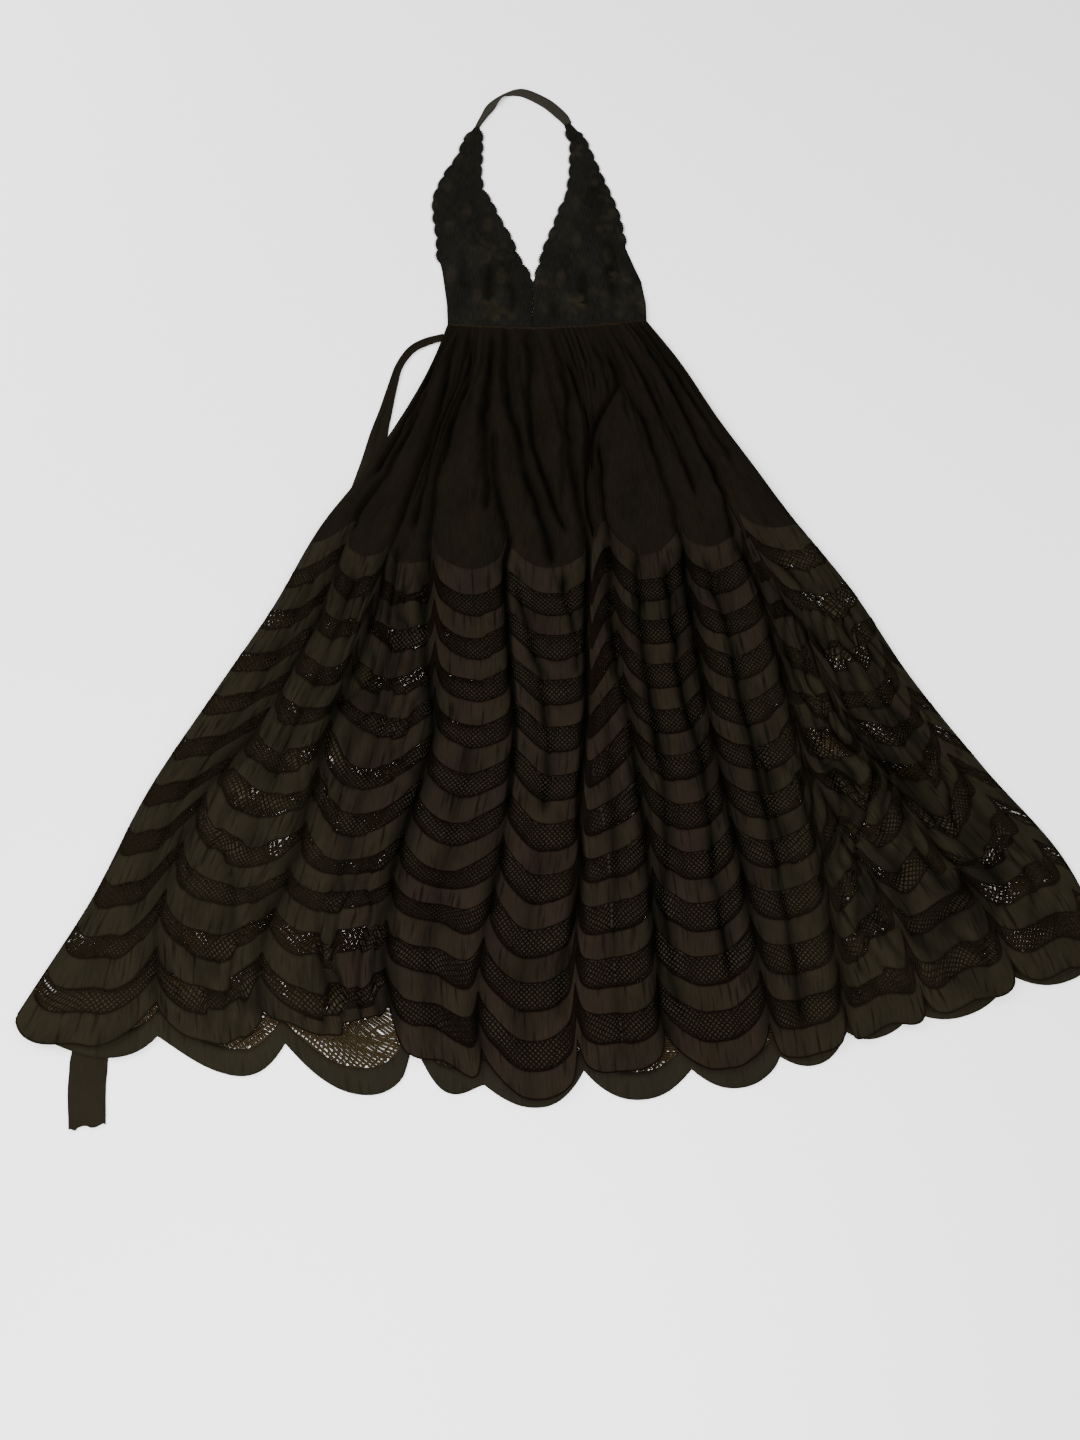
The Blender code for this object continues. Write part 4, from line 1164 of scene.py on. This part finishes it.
def back_gauze():
    """The plain upper part of the back skirt."""
    count, rows = BACK_GAUZE_GRID
    lines = np.linspace(0, LAST_LINE, count)
    return gauze_panel("back_gauze", lines, rows, lace_start(lines) + BACK_SEAM_OVERLAP, back_rise)


def pattern_columns(steps):
    """Places across the whole lace pattern, a number of steps to a column."""
    return np.arange(0, LAST_COLUMN - LEFT_OFF, 1 / steps)


def satin_bands(name, columns, bands, point):
    """Satin bands as one sheet, each from its lower edge, its height and its rows of points."""
    parts, faces, uvs, count = [], [], [], 0
    for bottom, tall, rows in bands:
        height = bottom[None, :] - tall * np.linspace(1, 0, rows)[:, None]
        column = np.broadcast_to(columns, height.shape)
        points, on = point(column, height)
        parts.append(points.reshape(-1, 5))
        faces.append(grid_faces(*height.shape, on) + count)
        uvs.append(listed(column * COLUMN, -height))
        count += height.size
    used, faces = np.unique(np.concatenate(faces), return_inverse=True)
    points, uv = np.concatenate(parts)[used], np.concatenate(uvs)[used]
    return thicken(mesh_of(name, points[:, :3], faces.reshape(-1, 4), uv, points[:, 3:]), SKIRT_THICK)


def front_satin():
    """The scalloped satin bands of the front lace, the lowest one partly turned under."""
    columns = pattern_columns(FRONT_STEPS)
    satin, under = satin_height(columns), along(TURNED_UNDER_AT, columns)
    bands = [(band_bottom(0, columns), FIRST_SATIN, FIRST_BAND_ROWS)]
    bands += [(band_bottom(band, columns), satin, FRONT_BAND_ROWS) for band in range(1, BANDS - 1)]
    bands.append((band_bottom(BANDS - 1, columns) - under, satin - under, FRONT_BAND_ROWS))
    return satin_bands("front_satin", columns, bands, front_point)


def back_satin():
    """The scalloped satin bands of the back lace, the first one reaching up under the gauze."""
    columns = pattern_columns(BACK_STEPS)
    bottoms = [band_bottom(band, columns) for band in range(BANDS)]
    seam_line = np.clip(line_of(columns, FIRST_BOTTOM - PITCH), 0, LAST_LINE)
    talls = [bottoms[0] - lace_start(seam_line) + BACK_FIRST_OVERLAP]
    talls += [along(BACK_SATIN_AT, columns)] * (BANDS - 2) + [BACK_HEM_SATIN]
    bands = [(bottom, tall, BACK_BAND_ROWS) for bottom, tall in zip(bottoms, talls)]
    return satin_bands("back_satin", columns, bands, back_point)


def front_rims():
    """The dark cords along the edges of each satin band."""
    columns = pattern_columns(RIM_STEPS)
    edges = [band_bottom(band, columns) for band in range(BANDS)]
    edges[-1] = edges[-1] - along(TURNED_UNDER_AT, columns)
    edges += [band_bottom(band, columns) - satin_height(columns) for band in range(1, BANDS)]
    runs = []
    for height in edges:
        points, on = front_point(columns, height, RIM_LIFT)
        runs += [points[a:b] for a, b in stretches(on) if b - a > 1]
    return threads("front_rims", runs, RIM_RADIUS)


def side_seams():
    """The seam down each side of the lace, where the front folds over to the back."""
    runs = []
    for side, hem in ((0, BACK_HEM[0][1]), (LAST_LINE, BACK_HEM[-1][1])):
        cloth = np.arange(FIRST_BOTTOM - SCALLOP_DEPTH - FIRST_SATIN, hem - SIDE_SEAM_SHORT, SIDE_SEAM_STEP)
        line = np.full(len(cloth), float(side))
        runs.append(listed(*on_cloth(line, cloth), front_rise(line, cloth) - SIDE_SEAM_DROP))
    return threads("side_seams", runs, SIDE_SEAM_RADIUS, 5)


def waist_seam():
    """The puckered ridge of the waist seam, over the top of the gathers."""
    x = np.linspace(BAND_LEFT - 1, BAND_RIGHT + 1, 281)
    pucker = ripple(x / 5.5, 0 * x, seed=51)
    share = np.linspace(0, 1, 9)[:, None]
    y = seam_height(x) + RIDGE_ABOVE - share * (RIDGE_WIDTH + RIDGE_PUCKER * pucker[None, :])
    top = front_rise(np.interp(x, LINE_STARTS, LINES), np.full(len(x), 1.0))[None, :]
    bulge = np.sin(np.pi * share) ** RIDGE_ROUNDNESS
    z = top + RIDGE_REST + (RIDGE_HEIGHT + RIDGE_UNEVEN * pucker[None, :]) * bulge
    points = listed(x, y, z)
    return thicken(mesh_of("waist_seam", points, grid_faces(*z.shape), points[:, :2]), RIDGE_THICK)


# Pieces of the bodice


def cup_side(table):
    """Which way a cup's outer edge lies: 1 right, -1 left."""
    return 1 if table[0][1] > 0 else -1


def cup_edge(table, place, height):
    """Where a cup's outer (1) or inner (2) edge lies at a height above the waist seam."""
    return np.interp(height, entries(table, 0), entries(table, place))


def cup_scallops(height, between):
    """How far a cup's edge stands out in scallops between two heights."""
    start, stop = between
    inside = (height >= start) & (height <= stop)
    return np.where(inside, CUP_SCALLOP_DEPTH * scallop((height - start) / CUP_SCALLOP), 0)


def cup_lift(height):
    """How far a cup is lifted by the band at the back of the waist."""
    return (WALL + LAY_GAP) * clipped((CUP_LIFT_RAMP - height) / (CUP_LIFT_RAMP - CUP_LIFT_FLAT))


def cup_up(x, height, aside=0.0):
    """Where a cup's point lies up the dress; its lower part follows the curve of the waist seam."""
    return height + aside + seam_height(x) * np.maximum(1 - height / V_HEIGHT, 0) + SEAM_GAP


def cup(name, table, outer_scallops, inner_scallops):
    """One lace cup: a soft shell over the bust with scalloped edges."""
    side = cup_side(table)
    height = np.linspace(0, table[-1][0], 150)[:, None]
    share = np.linspace(0, 1, 61)[None, :]
    outer = cup_edge(table, 1, height) + side * cup_scallops(height, outer_scallops)
    inner = cup_edge(table, 2, height) + side * SEAM_GAP / 2 - side * cup_scallops(height, inner_scallops)
    x = outer + (inner - outer) * share
    y = cup_up(x, height)
    crown = along(CUP_CROWN_AT, height) * np.sin(np.pi * np.minimum(share, 0.9999)) ** CUP_ROUNDNESS
    z = cup_lift(height) + crown + CUP_REST + 0.3 * ripple(x / 22, y / 40, seed=8)
    # Painted shade in the soft folds, darker where a fold is deeper
    hollow = 0 * x
    for middle, start, stop, half, depth in CUP_FOLDS:
        fade = eased((height - start) / CUP_FOLD_FADE) * eased((stop - height) / CUP_FOLD_FADE)
        near = fade * np.exp(-(((x - middle) / half) ** 2))
        z = z - np.minimum(depth, DEEPEST_FOLD * crown) * near
        hollow = np.maximum(hollow, near * depth / CUP_FOLD_FULL_SHADE)
    points = listed(x, y, z)
    faces = grid_faces(*x.shape)[:, ::side]
    return thicken(mesh_of(name, points, faces, points[:, :2], listed(hollow, 0 * hollow)), CUP_THICK)


def picots(name, table, outer_scallops, inner_scallops):
    """Small loops of thread along the scalloped edges of a cup."""
    side = cup_side(table)
    runs = []
    for between, place, out in ((outer_scallops, 1, side), (inner_scallops, 2, -side)):
        height = np.arange(*between, PICOT_STEP / 8)
        turn = 2 * np.pi * (height - between[0]) / PICOT_STEP
        loop = cup_scallops(height, between) + PICOT_LOOP * (0.5 - 0.5 * np.cos(turn))
        x = cup_edge(table, place, height) + out * loop
        runs.append(listed(x, cup_up(x, height, PICOT_WAVE * np.sin(turn)), cup_lift(height) + CUP_REST))
    return threads(name, runs, PICOT_RADIUS)


def back_band():
    """The plain band that closes the low back."""
    x = np.linspace(BAND_LEFT, BAND_RIGHT, 91)[None, :]
    height = np.linspace(0, BAND_HEIGHT, 9)[::-1, None]
    y = seam_height(x) + SEAM_GAP + height
    points = listed(x, y, 0.75 + 0.2 * ripple(x / 12, height / 30, seed=9))
    return thicken(mesh_of("back_band_cloth", points, grid_faces(*y.shape), points[:, :2]), BAND_THICK)


# Strap and tie


def ribbon(name, centre, width, turn, thick, columns=7, frayed=0.0, folded=None):
    """A folded ribbon swept along its middle line, flat on the ground or turned on its edge.

    folded says how much painted shade a fold lays along its length.
    """
    way = unit(np.gradient(centre, axis=0))
    angle = np.radians(turn)[:, None]
    across = unit(np.cross(way, (0, 0, 1.0))) * np.cos(angle) + np.array([0, 0, 1.0]) * np.sin(angle)
    share = np.linspace(-0.5, 0.5, columns)
    points = centre[:, None, :] + across[:, None, :] * (width[:, None] * share[None, :])[..., None]
    points[-1] += way[-1] * (frayed * ripple(share * 9, 0 * share, seed=61))[:, None]
    low = points[..., 2].min(1) - thick / 2
    points[..., 2] -= np.minimum(low, 0)[:, None]
    length = np.concatenate([[0], np.cumsum(np.linalg.norm(np.diff(centre, axis=0), axis=1))])
    lie = None
    if folded is not None:
        fold = np.exp(-(((share - FOLD_PLACE) / FOLD_WIDTH) ** 2))
        hollow = folded[:, None] * (0.6 + 0.4 * fold)[None, :]
        lie = listed(hollow, 0 * hollow)
    uv = listed(share[None, :] * np.max(width), -length[:, None])
    return thicken(mesh_of(name, points.reshape(-1, 3), grid_faces(len(centre), columns), uv, lie), thick)


def neck_strap():
    """The narrow strap that passes behind the neck."""
    x, y, width, turn = smooth_columns(STRAP, 97)
    return ribbon("neck_strap_ribbon", listed(x, y, STRAP_REST), width, turn, STRAP_THICK)


def long_tie():
    """The long tie that leaves the left side of the waist."""
    x, y, width, thick = smooth_columns(TIE, 241)
    # Painted shade, darkest where the tie leaves the skirt
    folded = TIE_FOLD_PAINTED_SHADE * eased((y - TIE_UNDER_FROM) / 100 + 1.5)
    return ribbon("tie_ribbon", listed(x, y, thick / 2), width, 0 * x, TIE_THICK, 17, TIE_FRAYED, folded)


# The whole dress


def finished(obj, mat, slot, *nodes):
    """Gives a piece its material and body, and hides the solids that it stands for; slot is not used."""
    obj.data.materials.append(mat)
    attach(obj, "root")
    if nodes:
        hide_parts(*nodes)
    return obj


def nets(names, point, in_net, radius, mat):
    """The open net of one panel, in a left and a right piece."""
    return [finished(net(name, reach, point, in_net, radius), mat, "skirt_lace")
            for name, reach in zip(names, NET_REACHES)]


def dress_pieces():
    """Makes every piece of the dress."""
    plain, cord, lace = gauze_cloth(), rim_cord(), cup_lace()
    gauze = finished(front_gauze(), plain, "plain_cloth", "skirt_front_top")
    back = finished(back_gauze(), plain, "plain_cloth", "skirt_back_top")
    satin = finished(front_satin(), front_satin_cloth(), "skirt_lace", "skirt_front_lace")
    satin_back = finished(back_satin(), back_satin_cloth(), "skirt_lace", "skirt_back_lace")
    trims = [finished(front_rims(), cord, "skirt_lace"), finished(side_seams(), cord, "skirt_lace")]
    ridge = finished(waist_seam(), seam_gauze(), "plain_cloth")
    trims += nets(("front_net_left", "front_net_right"), front_point, in_front_net, NET_RADIUS, net_thread())
    back_nets = nets(("back_net_left", "back_net_right"), back_point, in_back_net, BACK_NET_RADIUS,
                     back_thread())
    left = finished(cup("cup_left_lace", *LEFT_CUP), lace, "bodice_lace", "cup_left")
    right = finished(cup("cup_right_lace", *RIGHT_CUP), lace, "bodice_lace", "cup_right")
    left_loops = finished(picots("cup_left_picots", *LEFT_CUP), cord, "bodice_lace")
    right_loops = finished(picots("cup_right_picots", *RIGHT_CUP), cord, "bodice_lace")
    strap = finished(neck_strap(), strap_cloth(), "strap_and_tie", "neck_strap")
    tie = finished(long_tie(), tie_cloth(), "strap_and_tie", "tie")
    band = finished(back_band(), plain, "plain_cloth", "back_band")


# Floor, light and camera


def floor():
    """A plain pale floor."""
    mesh = bpy.data.meshes.new("floor")
    corners = [(FLOOR_HALF * x, FLOOR_HALF * y, FLOOR_AT) for x, y in ((-1, -1), (1, -1), (1, 1), (-1, 1))]
    mesh.from_pydata(corners, [], [(0, 1, 2, 3)])
    obj = added("floor", mesh)
    mat = bpy.data.materials.new("pale_floor")
    mat.use_nodes = True
    shader = mat.node_tree.nodes["Principled BSDF"]
    shader.inputs["Base Color"].default_value = (0.90, 0.90, 0.90, 1)
    shader.inputs["Roughness"].default_value = 0.9
    shader.inputs["Specular IOR Level"].default_value = 0.1
    mesh.materials.append(mat)


def soft_light(name, place, aim, size, power):
    """A large soft lamp."""
    data = bpy.data.lights.new(name, "AREA")
    data.shape, data.size, data.energy = "SQUARE", size, power
    obj = added(name, data)
    obj.location = place
    way = np.array(aim, float) - np.array(place, float)
    obj.rotation_euler = (math.atan2(math.hypot(way[0], way[1]), -way[2]), 0,
                          math.atan2(way[0], -way[1]) + math.pi)


def studio():
    """Soft light from above and the sides."""
    world = bpy.data.worlds.new("studio")
    world.use_nodes = True
    world.node_tree.nodes["Background"].inputs[0].default_value = (1, 1, 1, 1)
    world.node_tree.nodes["Background"].inputs[1].default_value = SKY
    bpy.context.scene.world = world
    soft_light("window", (-2.2, 0.8, 1.6), (0, 0, 0), 1.6, 100)
    soft_light("fill", (2.0, -1.0, 2.2), (0, 0, 0), 2.0, 48)
    soft_light("near_hem", (-0.35, -1.25, 1.0), (-0.15, -0.45, 0), 0.9, 26)


def camera():
    """The camera at the photograph's angle."""
    data = bpy.data.cameras.new("camera")
    data.lens, data.sensor_width, data.sensor_fit = LENS, SENSOR, "HORIZONTAL"
    obj = added("camera", data)
    obj.location = CAMERA_AT
    obj.rotation_euler = (math.atan(CAMERA_TILT), 0, 0)
    bpy.context.scene.camera = obj


camera()
floor()
studio()
dress_pieces()
